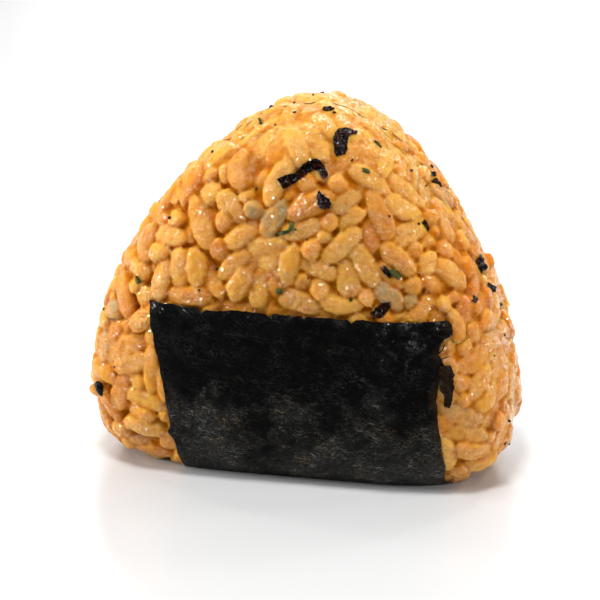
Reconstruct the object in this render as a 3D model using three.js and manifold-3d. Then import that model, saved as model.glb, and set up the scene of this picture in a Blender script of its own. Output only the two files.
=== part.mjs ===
// A rice ball pressed in a triangular mould: seasoned short-grain rice with flakes of
// seaweed and a few seeds in it, standing on the broad strip of nori that is wrapped
// under its foot. Millimetres, +Z up. The front looks along -Y, and the origin is the
// middle of the face it stands on.

import * as THREE from 'three';
import { mergeVertices } from 'three/addons/utils/BufferGeometryUtils.js';
import Module from 'manifold-3d';

const wasm = await Module();
wasm.setup();

// ---------------------------------------------------------------- driving dimensions

// The mould's sides as seen from the front: the way each one faces, counter-clockwise
// from +X, and its distance from the middle of the body.
const MOULD_SIDES = [
  { facing: 0, distance: 37.6 },
  { facing: 37, distance: 30.1 },
  { facing: 90, distance: 37.0 },
  { facing: 138, distance: 29.7 },
  { facing: 180, distance: 37.8 },
  { facing: 270, distance: 31.9 },
];
const HALF_THICKNESS = 18;
const SIDE_SHARPNESS = 4.6; // how tightly one side turns into the next
const FACE_SHARPNESS = 3.3; // how tightly the two faces turn into the sides
const CENTRE_HEIGHT = 29.8; // the middle of the body above the surface it stands on

const GRAIN = { length: 8.2, width: 3.8, depth: 3.2 };
const GRAIN_SPREAD = 0.14; // grains are this much shorter or longer, as a share
const GRAIN_SPACING = 3.7; // the least distance between two grains' middles
const GRAIN_DARTS = 9000; // places tried
const GRAIN_TURNS = 10; // turns tried at each place
const GRAIN_LENGTHS = [1, 0.85, 0.7, 0.55, 0.45]; // lengths tried, as shares
const GRAIN_NARROWEST = 2.0;
const GRAIN_OVERLAP = 0.05; // neighbours press this far into each other
const GRAIN_SIDES = 5;
const GRAIN_RINGS = 3;
const GRAIN_FULLNESS = 1.12; // a grain of few sides is this much larger, to hold its size
const GRAIN_PROUD = 0.25; // how far a grain may stand out of the mould's surface
const GRAIN_TILT = 12; // degrees
const GRAIN_FOOT = 0.1; // the lowest grains above the surface

const CORE_DETAIL = 5;
const CORE_DEPTH = 1.5; // the packed rice behind the grains that show
const CORE_DEPTH_UNDER_NORI = 0.8;
const CORE_FOOT = 1.0;
const SMALLEST_STEP = 0.1; // joins between grains finer than this are smoothed over

const NORI_THICKNESS = 0.5;
const NORI_LIFT = 0.15; // the sheet's middle above the mould's surface
const NORI_WAVE = 0.2;
const NORI_STEPS_ACROSS = 18;
const NORI_STEPS_ALONG = 34;
const NORI_LEFT = { foot: -19.1, front: -23.3, back: -21.5 };
const NORI_RIGHT = { foot: 25.9, front: 26.3, back: 25.2 };
const NORI_TOP = { front: 31.6, back: 30.2 }; // above the surface it stands on
const NORI_FLAT_ANGLE = 24; // degrees either side of straight down that stay flat
const NORI_GAP = 0.32; // between the sheet and the rice
const NORI_CUT_HEIGHT = 4; // how far out the rice is kept clear of the sheet

const FLAKE_SUNK = 1.5; // how deep a flake or a seed reaches into the rice
const FLAKE_PROUD = 0.45;

const SEED = 10;

// Flakes of seaweed: a place next to the surface, length, width and turn in degrees.
const FLAKES = [
  { at: [8.3, -10, 59.6], length: 3.8, width: 2.2, turn: 65 },
  { at: [6.1, -16.3, 51.2], length: 2.6, width: 1.9, turn: 80 },
  { at: [4.2, -3.8, 62.6], length: 2.0, width: 1.4, turn: 10 },
  { at: [20.4, 1.6, 51.2], length: 2.2, width: 1.3, turn: 120 },
  { at: [21.7, 1.8, 49.0], length: 2.0, width: 1.3, turn: 150 },
  { at: [22.3, -10.2, 46.3], length: 2.2, width: 1.3, turn: 100 },
  { at: [29.3, 0.1, 36.9], length: 2.4, width: 1.8, turn: 20 },
  { at: [31.2, 0.3, 32.7], length: 2.2, width: 1.8, turn: 60 },
  { at: [17.0, -16.3, 39.7], length: 3.0, width: 2.0, turn: 30 },
  { at: [16.0, -17.2, 34.6], length: 3.0, width: 2.4, turn: 75 },
  { at: [-8.5, 14.0, 50.0], length: 3.6, width: 2.1, turn: 35 },
  { at: [13.5, 15.5, 43.0], length: 3.0, width: 1.9, turn: 110 },
  { at: [-21.0, 12.0, 40.0], length: 2.4, width: 1.6, turn: 70 },
  { at: [30.0, 10.0, 22.0], length: 2.6, width: 1.7, turn: 15 },
  { at: [-33.0, 3.0, 26.0], length: 2.3, width: 1.6, turn: 140 },
];

// Strips of seaweed bent at the middle: the lengths of their two legs and the bend.
const STRIPS = [
  { at: [3.2, -14.6, 56.4], legs: [6.2, 3.2], width: 1.5, turn: 37, bend: -78 },
  { at: [3.0, 16.0, 52.0], legs: [4.6, 3.4], width: 1.4, turn: 150, bend: 55 },
];

const SEEDS = [
  { at: [-33.1, -12.4, 13.7], turn: 70 },
  { at: [-25.5, 13.5, 33.5], turn: 25 },
  { at: [24.0, 14.0, 37.0], turn: 130 },
];
const SEED_SIZE = { length: 3.0, width: 1.8, depth: 1.5 };

const RICE = new THREE.MeshStandardMaterial({ color: 0xdc9a4a, roughness: 0.35, metalness: 0 });
const NORI = new THREE.MeshStandardMaterial({ color: 0x15191a, roughness: 0.55, metalness: 0 });

// ---------------------------------------------------------------- the mould's surface

const radians = THREE.MathUtils.degToRad;
const lerp = THREE.MathUtils.lerp;
const smoothstep = THREE.MathUtils.smoothstep;

// 1 on the body's outline as seen from the front, less inside it.
function outline(x, z) {
  let sum = 0;
  for (const { facing, distance } of MOULD_SIDES) {
    const reach = x * Math.cos(radians(facing)) + z * Math.sin(radians(facing));
    sum += Math.max(reach / distance, 0) ** SIDE_SHARPNESS;
  }
  return sum ** (1 / SIDE_SHARPNESS);
}

// 1 on the mould's surface, less inside it. It grows in proportion along any ray.
function gauge({ x, y, z }) {
  const side = outline(x, z) ** FACE_SHARPNESS;
  const face = (Math.abs(y) / HALF_THICKNESS) ** FACE_SHARPNESS;
  return (side + face) ** (1 / FACE_SHARPNESS);
}

// The way the surface through a point faces.
function outward(point) {
  const step = 0.01;
  const slope = (axis) => {
    const ahead = point.clone();
    const behind = point.clone();
    ahead[axis] += step;
    behind[axis] -= step;
    return gauge(ahead) - gauge(behind);
  };
  return new THREE.Vector3(slope('x'), slope('y'), slope('z')).normalize();
}

// The surface point that lies in a direction, moved out by lift and no lower than foot
// above the surface that the body stands on.
function onMould(direction, lift = 0, foot = 0) {
  const point = direction.clone().divideScalar(gauge(direction));
  point.addScaledVector(outward(point), lift);
  point.z = Math.max(point.z, foot - CENTRE_HEIGHT);
  return point;
}

// The direction of a place that is given by its height above the standing surface.
const towards = ([x, y, height]) => new THREE.Vector3(x, y, height - CENTRE_HEIGHT);

// ---------------------------------------------------------------- the strip of nori

// The strip is laid out by an angle round the body's long axis: 0 is straight down,
// positive to the front, negative to the back.
const wrapAngle = ({ y, z }) => Math.atan2(-y, -z);

// The wrap angle of the strip's upper edge, on the front or on the back.
function topAngle(x, side) {
  const z = NORI_TOP[side] - CENTRE_HEIGHT;
  const depth = HALF_THICKNESS * (1 - outline(x, z) ** FACE_SHARPNESS) ** (1 / FACE_SHARPNESS);
  return Math.atan2(depth, -z);
}

// Where the strip's left or right edge lies at a wrap angle.
function edge(bounds, angle) {
  const side = angle > 0 ? 'front' : 'back';
  const ragged = 0.25 * Math.sin(9 * angle) + 0.15 * Math.sin(23 * angle + bounds.foot);
  return lerp(bounds.foot, bounds[side], smoothstep(Math.abs(angle), 0.3, 1.6)) + ragged;
}

// The mould's surface at x and a wrap angle, found by halving.
function wrapPoint(x, angle) {
  const at = (reach) => new THREE.Vector3(x, -reach * Math.sin(angle), -reach * Math.cos(angle));
  let inside = 0;
  let outside = 2 * CENTRE_HEIGHT;
  for (let i = 0; i < 40; i += 1) {
    const middle = (inside + outside) / 2;
    if (gauge(at(middle)) < 1) inside = middle;
    else outside = middle;
  }
  return at(inside);
}

// The rice under the sheet shows through it as low waves, which die out at the foot.
function wave(x, angle) {
  const fade = smoothstep(Math.abs(angle), radians(NORI_FLAT_ANGLE), radians(40));
  const ripple = Math.sin(0.9 * x + 5 * angle) * Math.sin(14 * angle - 0.35 * x);
  return NORI_WAVE * fade * ripple;
}

// A closed sheet that follows the strip, from one lift above the mould to another.
function strip({ inner, outer, margin, innerFoot, outerFoot }) {
  const columns = NORI_STEPS_ACROSS + 1;
  const rows = NORI_STEPS_ALONG + 1;
  const places = [];
  for (const [lift, foot] of [[outer, outerFoot], [inner, innerFoot]]) {
    for (let row = 0; row < rows; row += 1) {
      const along = (2 * row) / NORI_STEPS_ALONG - 1;
      for (let column = 0; column < columns; column += 1) {
        const across = column / NORI_STEPS_ACROSS;
        const side = along > 0 ? 'front' : 'back';
        const roughX = lerp(NORI_LEFT[side], NORI_RIGHT[side], across);
        const marginAngle = margin / HALF_THICKNESS;
        const angle = along * (topAngle(roughX, side) + marginAngle);
        const x = lerp(
          edge(NORI_LEFT, angle) - margin,
          edge(NORI_RIGHT, angle) + margin,
          across,
        );
        const point = wrapPoint(x, angle);
        point.addScaledVector(outward(point), lift + wave(x, angle));
        point.z = Math.max(point.z, foot - CENTRE_HEIGHT);
        places.push(point.x, point.y, point.z);
      }
    }
  }

  const faces = [];
  const quad = (a, b, c, d) => faces.push(a, b, c, a, c, d);
  const index = (face, row, column) => (face * rows + row) * columns + column;
  for (let row = 0; row < NORI_STEPS_ALONG; row += 1) {
    for (let column = 0; column < NORI_STEPS_ACROSS; column += 1) {
      const corners = [[row, column], [row, column + 1], [row + 1, column + 1], [row + 1, column]];
      const [a, b, c, d] = corners.map(([r, k]) => index(0, r, k));
      const [e, f, g, h] = corners.map(([r, k]) => index(1, r, k));
      quad(a, b, c, d);
      faces.push(e, g, f, e, h, g); // the inner face, cut along the same diagonals
    }
  }
  // The rim between the two faces: the two side edges, then the two ends.
  const rim = (from, to) => quad(index(0, ...from), index(0, ...to), index(1, ...to), index(1, ...from));
  for (let row = 0; row < NORI_STEPS_ALONG; row += 1) {
    rim([row, 0], [row + 1, 0]);
    rim([row + 1, NORI_STEPS_ACROSS], [row, NORI_STEPS_ACROSS]);
  }
  for (let column = 0; column < NORI_STEPS_ACROSS; column += 1) {
    rim([0, column + 1], [0, column]);
    rim([NORI_STEPS_ALONG, column], [NORI_STEPS_ALONG, column + 1]);
  }

  const geometry = new THREE.BufferGeometry();
  geometry.setAttribute('position', new THREE.Float32BufferAttribute(places, 3));
  geometry.setIndex(faces);
  return geometry;
}

// How deep under the strip a surface point lies: positive inside its outline, in mm.
function underStrip(point) {
  const angle = wrapAngle(point);
  const side = angle > 0 ? 'front' : 'back';
  const below = NORI_TOP[side] - CENTRE_HEIGHT - point.z;
  return Math.min(below, point.x - edge(NORI_LEFT, angle), edge(NORI_RIGHT, angle) - point.x);
}

// ---------------------------------------------------------------- solids

function solid(geometry) {
  const bare = geometry.clone();
  bare.deleteAttribute('normal');
  bare.deleteAttribute('uv');
  const merged = mergeVertices(bare);
  return new wasm.Manifold(new wasm.Mesh({
    numProp: 3,
    vertProperties: Float32Array.from(merged.attributes.position.array),
    triVerts: Uint32Array.from(merged.index.array),
  }));
}

// Joining grains can seal a small hollow or leave a scrap: only the main body is kept.
function mainBody(shape) {
  const pieces = shape.decompose();
  return pieces.reduce((best, piece) => (piece.volume() > best.volume() ? piece : best));
}

function namedMesh(shape, name, material) {
  const { vertProperties, triVerts } = shape.getMesh();
  const geometry = new THREE.BufferGeometry();
  geometry.setAttribute('position', new THREE.BufferAttribute(vertProperties, 3));
  geometry.setIndex(new THREE.BufferAttribute(triVerts, 1));
  geometry.computeVertexNormals();
  const mesh = new THREE.Mesh(geometry, material);
  mesh.name = name;
  return mesh;
}

// Numbers from 0 to 1 that are the same in every run.
function randomFrom(seed) {
  let state = seed;
  return () => {
    state = (state + 0x6d2b79f5) | 0;
    let mixed = Math.imul(state ^ (state >>> 15), 1 | state);
    mixed = (mixed + Math.imul(mixed ^ (mixed >>> 7), 61 | mixed)) ^ mixed;
    return ((mixed ^ (mixed >>> 14)) >>> 0) / 4294967296;
  };
}

// A placing for something that lies on the surface: its X is turned round the way the
// surface faces, which is its Z, and it sits lift above the mould.
function seat(direction, turn, lift) {
  const place = onMould(direction, lift);
  const normal = outward(place);
  const upright = Math.abs(normal.z) > 0.95 ? new THREE.Vector3(0, 1, 0) : new THREE.Vector3(0, 0, 1);
  const right = upright.cross(normal).normalize();
  const basis = new THREE.Matrix4().makeBasis(right, normal.clone().cross(right), normal);
  return new THREE.Matrix4().makeTranslation(place)
    .multiply(basis)
    .multiply(new THREE.Matrix4().makeRotationZ(radians(turn)));
}

// ---------------------------------------------------------------- the rice

function riceCore() {
  const geometry = new THREE.IcosahedronGeometry(1, CORE_DETAIL);
  const positions = geometry.attributes.position;
  const direction = new THREE.Vector3();
  for (let i = 0; i < positions.count; i += 1) {
    direction.fromBufferAttribute(positions, i);
    const share = smoothstep(underStrip(onMould(direction)), 0.5, 3);
    const depth = lerp(CORE_DEPTH, CORE_DEPTH_UNDER_NORI, share);
    const point = onMould(direction, -depth, CORE_FOOT);
    positions.setXYZ(i, point.x, point.y, point.z);
  }
  return solid(geometry);
}

// Places for the grains: darts thrown at the surface, each kept if it lands clear of
// those before it and not far under the strip.
function grainPlaces(random) {
  const kept = [];
  for (let i = 0; i < GRAIN_DARTS; i += 1) {
    const height = 2 * random() - 1;
    const round = 2 * Math.PI * random();
    const level = Math.sqrt(1 - height * height);
    const direction = new THREE.Vector3(level * Math.cos(round), level * Math.sin(round), height);
    const point = onMould(direction);
    const hidden = underStrip(point) > GRAIN.width / 2;
    const crowded = kept.some((other) => other.distanceTo(point) < GRAIN_SPACING);
    if (!hidden && !crowded) kept.push(point);
  }
  return kept;
}

// How a grain best lies at a place among those laid before it: of several turns, the
// one with most room beside it, and a shorter grain where a long one finds too little.
function roomiest(place, size, laid, random) {
  let best = { room: 0 };
  for (const share of GRAIN_LENGTHS) {
    const half = (share * size.length - size.width) / 2;
    for (let i = 0; i < GRAIN_TURNS; i += 1) {
      const turn = 180 * random();
      const placing = seat(place, turn, -size.depth / 2);
      const axis = [-1, -0.5, 0, 0.5, 1].map(
        (end) => new THREE.Vector3(end * half, 0, 0).applyMatrix4(placing),
      );
      let room = Infinity;
      for (const other of laid) {
        for (const point of axis) room = Math.min(room, point.distanceTo(other.point) - other.radius);
      }
      if (room > best.room) best = { room, turn, axis, length: share * size.length };
    }
    if (best.room >= size.width / 2) break;
  }
  return best;
}

// A grain is a long ball of few sides, lying along the surface or a little tilted. It is
// as wide as its neighbours leave it, and null where they leave too little.
function grain(place, laid, random) {
  const vary = () => 1 + GRAIN_SPREAD * (2 * random() - 1);
  const size = {
    length: GRAIN.length * vary(),
    width: GRAIN.width * vary(),
    depth: GRAIN.depth * vary(),
  };
  const { room, turn, axis, length } = roomiest(place, size, laid, random);
  if (room < GRAIN_NARROWEST / 2) return null;
  const width = Math.min(size.width, 2 * (room + GRAIN_OVERLAP));
  axis.forEach((point) => laid.push({ point, radius: width / 2 }));

  const geometry = new THREE.SphereGeometry(GRAIN_FULLNESS / 2, GRAIN_SIDES, GRAIN_RINGS);
  geometry.rotateZ(Math.PI / 2); // the poles become the grain's two ends
  geometry.rotateX(2 * Math.PI * random());
  geometry.scale(length, width, size.depth);
  geometry.rotateY(radians(GRAIN_TILT * (2 * random() - 1)));
  const lift = GRAIN_PROUD * random() - size.depth / 2;
  geometry.applyMatrix4(seat(place, turn, lift));
  geometry.computeBoundingBox();
  const lowest = geometry.boundingBox.min.z + CENTRE_HEIGHT;
  geometry.translate(0, 0, Math.max(GRAIN_FOOT - lowest, 0));
  return solid(geometry);
}

// ---------------------------------------------------------------- what is in the rice

// A prism whose outline lies on the surface and which reaches into the rice.
function pressedIn(shape, at, turn) {
  const geometry = new THREE.ExtrudeGeometry(shape, {
    depth: FLAKE_PROUD + FLAKE_SUNK,
    bevelEnabled: false,
    curveSegments: 1,
  });
  geometry.applyMatrix4(seat(towards(at), turn, -FLAKE_SUNK));
  return solid(geometry);
}

function flake({ at, length, width, turn }) {
  const corners = [[-0.5, -0.2], [-0.1, -0.5], [0.42, -0.36], [0.5, 0.15], [0.05, 0.5], [-0.4, 0.34]];
  const points = corners.map(([u, v]) => new THREE.Vector2(u * length, v * width));
  return pressedIn(new THREE.Shape(points), at, turn);
}

// The bend is at the middle of the strip, and its two ends are cut to a slant.
function bentStrip({ at, legs, width, turn, bend }) {
  const half = width / 2;
  const corner = half * Math.tan(radians(bend / 2));
  const far = new THREE.Vector2(legs[1], 0).rotateAround(new THREE.Vector2(), radians(bend));
  const side = new THREE.Vector2(0, half).rotateAround(new THREE.Vector2(), radians(bend));
  const points = [
    new THREE.Vector2(-legs[0], -0.6 * half),
    new THREE.Vector2(corner, -half),
    far.clone().sub(side),
    far.clone().addScaledVector(side, 0.6),
    new THREE.Vector2(-corner, half),
    new THREE.Vector2(0.6 * half - legs[0], 0.9 * half),
  ];
  return pressedIn(new THREE.Shape(points), at, turn);
}

function sesameSeed({ at, turn }) {
  const geometry = new THREE.SphereGeometry(0.5, GRAIN_SIDES, GRAIN_RINGS);
  geometry.rotateZ(Math.PI / 2);
  geometry.scale(SEED_SIZE.length, SEED_SIZE.width, SEED_SIZE.depth);
  geometry.applyMatrix4(seat(towards(at), turn, FLAKE_PROUD - SEED_SIZE.depth / 2));
  return solid(geometry);
}

// ---------------------------------------------------------------- the whole

const random = randomFrom(SEED);
const laid = [];
const heap = wasm.Manifold.union([
  riceCore(),
  ...grainPlaces(random).map((place) => grain(place, laid, random)).filter(Boolean),
  ...FLAKES.map(flake),
  ...STRIPS.map(bentStrip),
  ...SEEDS.map(sesameSeed),
]);

const innerLift = NORI_LIFT - NORI_THICKNESS / 2;
const nori = strip({
  inner: innerLift,
  outer: NORI_LIFT + NORI_THICKNESS / 2,
  margin: 0,
  innerFoot: NORI_THICKNESS,
  outerFoot: 0,
});
const roomForNori = strip({
  inner: innerLift - NORI_GAP,
  outer: NORI_CUT_HEIGHT,
  margin: NORI_GAP,
  innerFoot: NORI_THICKNESS + NORI_GAP,
  outerFoot: -NORI_CUT_HEIGHT,
});
const shaped = heap.subtract(solid(roomForNori));
const rice = mainBody(shaped.asOriginal().simplify(SMALLEST_STEP));

const riceBall = new THREE.Group();
riceBall.name = 'rice_ball';
riceBall.position.z = CENTRE_HEIGHT;
riceBall.add(namedMesh(rice, 'rice', RICE));
riceBall.add(namedMesh(solid(nori), 'nori', NORI));

export default riceBall;
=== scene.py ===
# %% [markdown]
# # A rice ball in a strip of nori
#
# The imported solids are loaded first. They are a plain stand-in for the rice and the
# seaweed, at their true size and place, and everything below is fitted to them. The
# box they fill is kept.

# %% The frame
import math

import bpy
import numpy as np
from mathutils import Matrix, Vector
from mathutils.bvhtree import BVHTree


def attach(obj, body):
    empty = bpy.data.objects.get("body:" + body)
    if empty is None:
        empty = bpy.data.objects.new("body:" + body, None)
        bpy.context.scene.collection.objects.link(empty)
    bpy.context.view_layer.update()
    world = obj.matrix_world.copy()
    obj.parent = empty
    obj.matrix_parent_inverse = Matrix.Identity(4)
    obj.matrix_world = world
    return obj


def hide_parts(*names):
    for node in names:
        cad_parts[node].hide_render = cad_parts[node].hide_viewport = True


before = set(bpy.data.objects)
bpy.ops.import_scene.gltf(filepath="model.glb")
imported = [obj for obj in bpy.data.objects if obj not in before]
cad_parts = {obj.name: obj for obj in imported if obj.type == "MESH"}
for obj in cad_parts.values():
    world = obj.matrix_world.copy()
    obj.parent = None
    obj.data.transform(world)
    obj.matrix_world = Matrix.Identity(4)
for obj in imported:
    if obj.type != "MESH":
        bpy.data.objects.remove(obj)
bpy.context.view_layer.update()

# %% [markdown]
# ## The shape the rice was pressed into
#
# A mould gives a rice ball its rounded triangle. One formula holds it: a gauge that is
# 1 on the surface, less inside and more outside. It blends six straight sides seen from
# the front, and then blends those with the two faces. Any point can then be asked how
# deep it lies in the body and which way is further in, and that is all that the grains
# and the nori need to know. Sizes here are in millimetres, as in the solids, and only
# the finished meshes are scaled to Blender's metres.

# %% The mould
MM = 0.001
# Each side faces this many degrees up from the right, at this distance from the middle.
MOULD_SIDES = ((0, 37.6), (37, 30.1), (90, 37.0), (138, 29.7), (180, 37.8), (270, 31.9))
HALF_THICKNESS = 18.0
SIDE_SHARPNESS = 4.6
FACE_SHARPNESS = 3.3
CENTRE_HEIGHT = 29.8  # the middle of the body above the surface it stands on


def outline(x, z):
    """1 on the body's outline as seen from the front, less inside it."""
    total = 0
    for facing, distance in MOULD_SIDES:
        turn = math.radians(facing)
        reach = x * math.cos(turn) + z * math.sin(turn)
        total = total + np.maximum(reach / distance, 0) ** SIDE_SHARPNESS
    return total ** (1 / SIDE_SHARPNESS)


def gauge(points):
    """1 on the mould's surface. Points are measured from the middle of the body."""
    side = outline(points[..., 0], points[..., 2]) ** FACE_SHARPNESS
    face = (np.abs(points[..., 1]) / HALF_THICKNESS) ** FACE_SHARPNESS
    return (side + face) ** (1 / FACE_SHARPNESS)


distances = [distance for _, distance in MOULD_SIDES]
print("the mould's sides lie", min(distances), "to", max(distances), "mm from its middle")

# %% [markdown]
# ## Which way is out, and how deep a point lies
#
# The way in which the gauge grows fastest is the way out of the body, and how fast it
# grows there turns a gauge value into a depth in millimetres. Blender could look for the
# nearest point of a mesh instead, but a formula is smooth and has no facets to catch on.

# %% Depth and the way inward
def gauge_slope(points, step=0.01):
    slopes = []
    for axis in np.eye(3) * step:
        slopes.append((gauge(points + axis) - gauge(points - axis)) / (2 * step))
    return np.stack(slopes, axis=-1)


def outward(points):
    slope = gauge_slope(points)
    return slope / np.linalg.norm(slope, axis=-1, keepdims=True)


def on_mould(directions, lift=0.0):
    """The surface points in these directions, moved out by lift."""
    points = directions / gauge(directions)[..., None]
    return points + outward(points) * np.asarray(lift)[..., None]


def depth_and_inward(points):
    """How deep points lie in the body, foot included, and the way further in."""
    slope = gauge_slope(points)
    steepness = np.linalg.norm(slope, axis=-1)
    depth = (1 - gauge(points)) / steepness
    inward = -slope / steepness[..., None]
    above_foot = points[..., 2] + CENTRE_HEIGHT
    at_foot = above_foot < depth
    inward[at_foot] = (0, 0, 1)
    return np.minimum(depth, above_foot), inward


print("it reaches", np.diag(on_mould(np.eye(3))).round(1), "mm aside, back and up from its middle")

# %% [markdown]
# ## The strip's outline
#
# The strip of nori starts on the front, passes under the foot and ends on the back. An
# angle round the body's long axis tells how far along the strip a point is: zero is
# straight down, positive is the front. The grains need this outline too, because those
# that lie under the sheet are pressed flat and those deep under it are never seen.

# %% The outline of the nori
NORI_LEFT = {"foot": -19.1, "front": -23.3, "back": -21.5}
NORI_RIGHT = {"foot": 25.9, "front": 26.3, "back": 25.2}
NORI_TOP = {"front": 31.6, "back": 30.2}  # above the surface it stands on


def smoothstep(low, high, value):
    share = np.clip((value - low) / (high - low), 0, 1)
    return share * share * (3 - 2 * share)


def wrap_angle(points):
    return np.arctan2(-points[..., 1], -points[..., 2])


def strip_edge(bounds, angle):
    """Where the strip's left or right edge lies at a wrap angle, without its tears."""
    far = np.where(angle > 0, bounds["front"], bounds["back"])
    return bounds["foot"] + (far - bounds["foot"]) * smoothstep(0.3, 1.6, np.abs(angle))


def under_strip(points):
    """How far inside the strip's outline points lie, in millimetres."""
    angle = wrap_angle(points)
    top = np.where(angle > 0, NORI_TOP["front"], NORI_TOP["back"]) - CENTRE_HEIGHT
    from_left = points[..., 0] - strip_edge(NORI_LEFT, angle)
    from_right = strip_edge(NORI_RIGHT, angle) - points[..., 0]
    return np.minimum(np.minimum(from_left, from_right), top - points[..., 2])


print("the strip is", NORI_RIGHT["foot"] - NORI_LEFT["foot"], "mm wide under the foot")

# %% [markdown]
# ## Packing the grains
#
# Some thousand grains fill a shell under the mould's surface, and the body behind them
# is never seen. Each gets a random length and width, and some are broken short. They
# start at random places and mostly lie along the surface, as pressed rice does. Blender
# could scatter them with particles, but those can't give way to each other.

# %% Grain sizes and places
SEED = 11
GRAIN_LENGTH = 8.2
GRAIN_WIDTH = 4.25
LENGTH_SPREAD = 0.1
WIDTH_SPREAD = 0.08
BROKEN_SHARE = 0.15
BROKEN_LENGTH = (0.5, 0.8)  # what is left of a broken grain's length
BROKEN_WIDTH = (0.65, 0.95)  # and of its width
SHORTEST_AXIS = 0.4
SHELL_COUNT = 1050
SHELL_TOP = 1.6  # grains start below this depth
SHELL_DEPTH = 4.4  # and above this one
LYING = 0.3  # how far grains first lean out of the surface, 1 for any way
BODY_REACH = HALF_THICKNESS * np.array([2.1, 1.0, 1.9])  # half of a box round the body

rng = np.random.default_rng(SEED)


def random_directions(count):
    ways = rng.normal(size=(count, 3))
    return ways / np.linalg.norm(ways, axis=1, keepdims=True)


def places_in_shell(count, shallow, deep):
    """Random places that lie between two depths under the surface."""
    found = np.empty((0, 3))
    while len(found) < count:
        tries = rng.uniform(-BODY_REACH, BODY_REACH, size=(4 * count, 3))
        depth, _ = depth_and_inward(tries)
        found = np.concatenate([found, tries[(depth > shallow) & (depth < deep)]])
    return found[:count]


middles = places_in_shell(SHELL_COUNT, SHELL_TOP, SHELL_DEPTH)
_, inward = depth_and_inward(middles)
axes = random_directions(SHELL_COUNT)
axes -= (1 - LYING) * np.sum(axes * inward, axis=1, keepdims=True) * inward
axes /= np.linalg.norm(axes, axis=1, keepdims=True)

broken = rng.random(SHELL_COUNT) < BROKEN_SHARE
lengths = GRAIN_LENGTH * (1 + LENGTH_SPREAD * rng.standard_normal(SHELL_COUNT).clip(-2, 2))
lengths[broken] *= rng.uniform(*BROKEN_LENGTH, broken.sum())
widths = GRAIN_WIDTH * (1 + WIDTH_SPREAD * rng.standard_normal(SHELL_COUNT).clip(-2, 2))
widths[broken] *= rng.uniform(*BROKEN_WIDTH, broken.sum())
half_axes = np.maximum(lengths - widths, SHORTEST_AXIS) / 2
print(SHELL_COUNT, "grains,", broken.sum(), "broken, mean length", lengths.mean().round(1), "mm")

# %% [markdown]
# ## Letting the grains settle
#
# For this each grain is only a row of five balls along its axis. Balls of two grains
# that overlap push each other apart, and the mould pushes back what sticks out. After
# some sixty rounds the grains lie as pressed rice does, some on end and some half hidden
# under others. A physics engine could do this as well, but it would be slower, and
# these few lines give the same result in every run.

# %% Settling
BALLS = np.linspace(-1, 1, 5)
ROUNDS = 60
ROUNDS_BETWEEN_SEARCHES = 8
MEETING_REACH = 1.15  # grains nearer than this many lengths may meet
PRESSED = 0.7  # grains are pressed together to this share of their width
WALL = 0.78  # and against the mould to this share of that
WALL_PUSH = 1.5
SHELL_PULL = 0.5
SLIDE = 0.6
LONGEST_SLIDE = 0.6
LARGEST_TWIST = 0.2
ARM_WEIGHT, BALL_WEIGHT = 2.5, 2  # how hard a grain is to turn, by its length and in itself
TINY = 1e-6


def balls_of(middles, axes):
    return middles[:, None] + axes[:, None] * (half_axes[:, None] * BALLS)[..., None]


def neighbours(middles, reach):
    apart = np.linalg.norm(middles[:, None] - middles[None], axis=-1)
    first, second = np.nonzero(np.triu(apart < reach, 1))
    return first, second


def settle(middles, axes):
    radii = PRESSED * widths / 2
    hard_to_turn = (ARM_WEIGHT * half_axes**2 + BALL_WEIGHT)[:, None]
    for step in range(ROUNDS):
        if step % ROUNDS_BETWEEN_SEARCHES == 0:
            first, second = neighbours(middles, GRAIN_LENGTH * MEETING_REACH)
        balls = balls_of(middles, axes)
        gaps = balls[first][:, :, None] - balls[second][:, None]
        apart = np.linalg.norm(gaps, axis=-1) + TINY
        overlap = np.maximum((radii[first] + radii[second])[:, None, None] - apart, 0)
        push = gaps / apart[..., None] * (0.5 * overlap)[..., None]
        moves = np.zeros_like(balls)
        np.add.at(moves, first, push.sum(axis=2))
        np.add.at(moves, second, -push.sum(axis=1))

        depth, inward = depth_and_inward(balls)
        moves += inward * np.maximum(WALL * radii[:, None] - depth, 0)[..., None] * WALL_PUSH
        moves -= inward * np.maximum(depth - SHELL_DEPTH, 0)[..., None] * SHELL_PULL

        slide = SLIDE * moves.mean(axis=1)
        far = np.linalg.norm(slide, axis=1, keepdims=True)
        middles = middles + slide * np.minimum(1, LONGEST_SLIDE / (far + TINY))
        arms = balls - middles[:, None]
        twist = np.cross(arms, moves).sum(axis=1) / hard_to_turn
        strong = np.linalg.norm(twist, axis=1, keepdims=True)
        twist *= np.minimum(1, LARGEST_TWIST / (strong + TINY))
        axes = axes + np.cross(twist, axes)
        axes /= np.linalg.norm(axes, axis=1, keepdims=True)
    return middles, axes


middles, axes = settle(middles, axes)
ball_depth, _ = depth_and_inward(balls_of(middles, axes))
top_depth = ball_depth.min(axis=1) - widths / 2
print("packed; the highest grain stands", -top_depth.min().round(2), "mm out of the mould")

# %% [markdown]
# ## One grain's grid
#
# A grid of rings between two poles is enough for a grain, and all grains share it, so
# that one array holds them all. The seeds and specks further on are made on such a grid
# too. Blender's own ball of rings is the same thing, but a grid made here can be bent
# into a thousand different grains at once.

# %% The grain's grid
RINGS = 12
SIDES = 14


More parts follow.
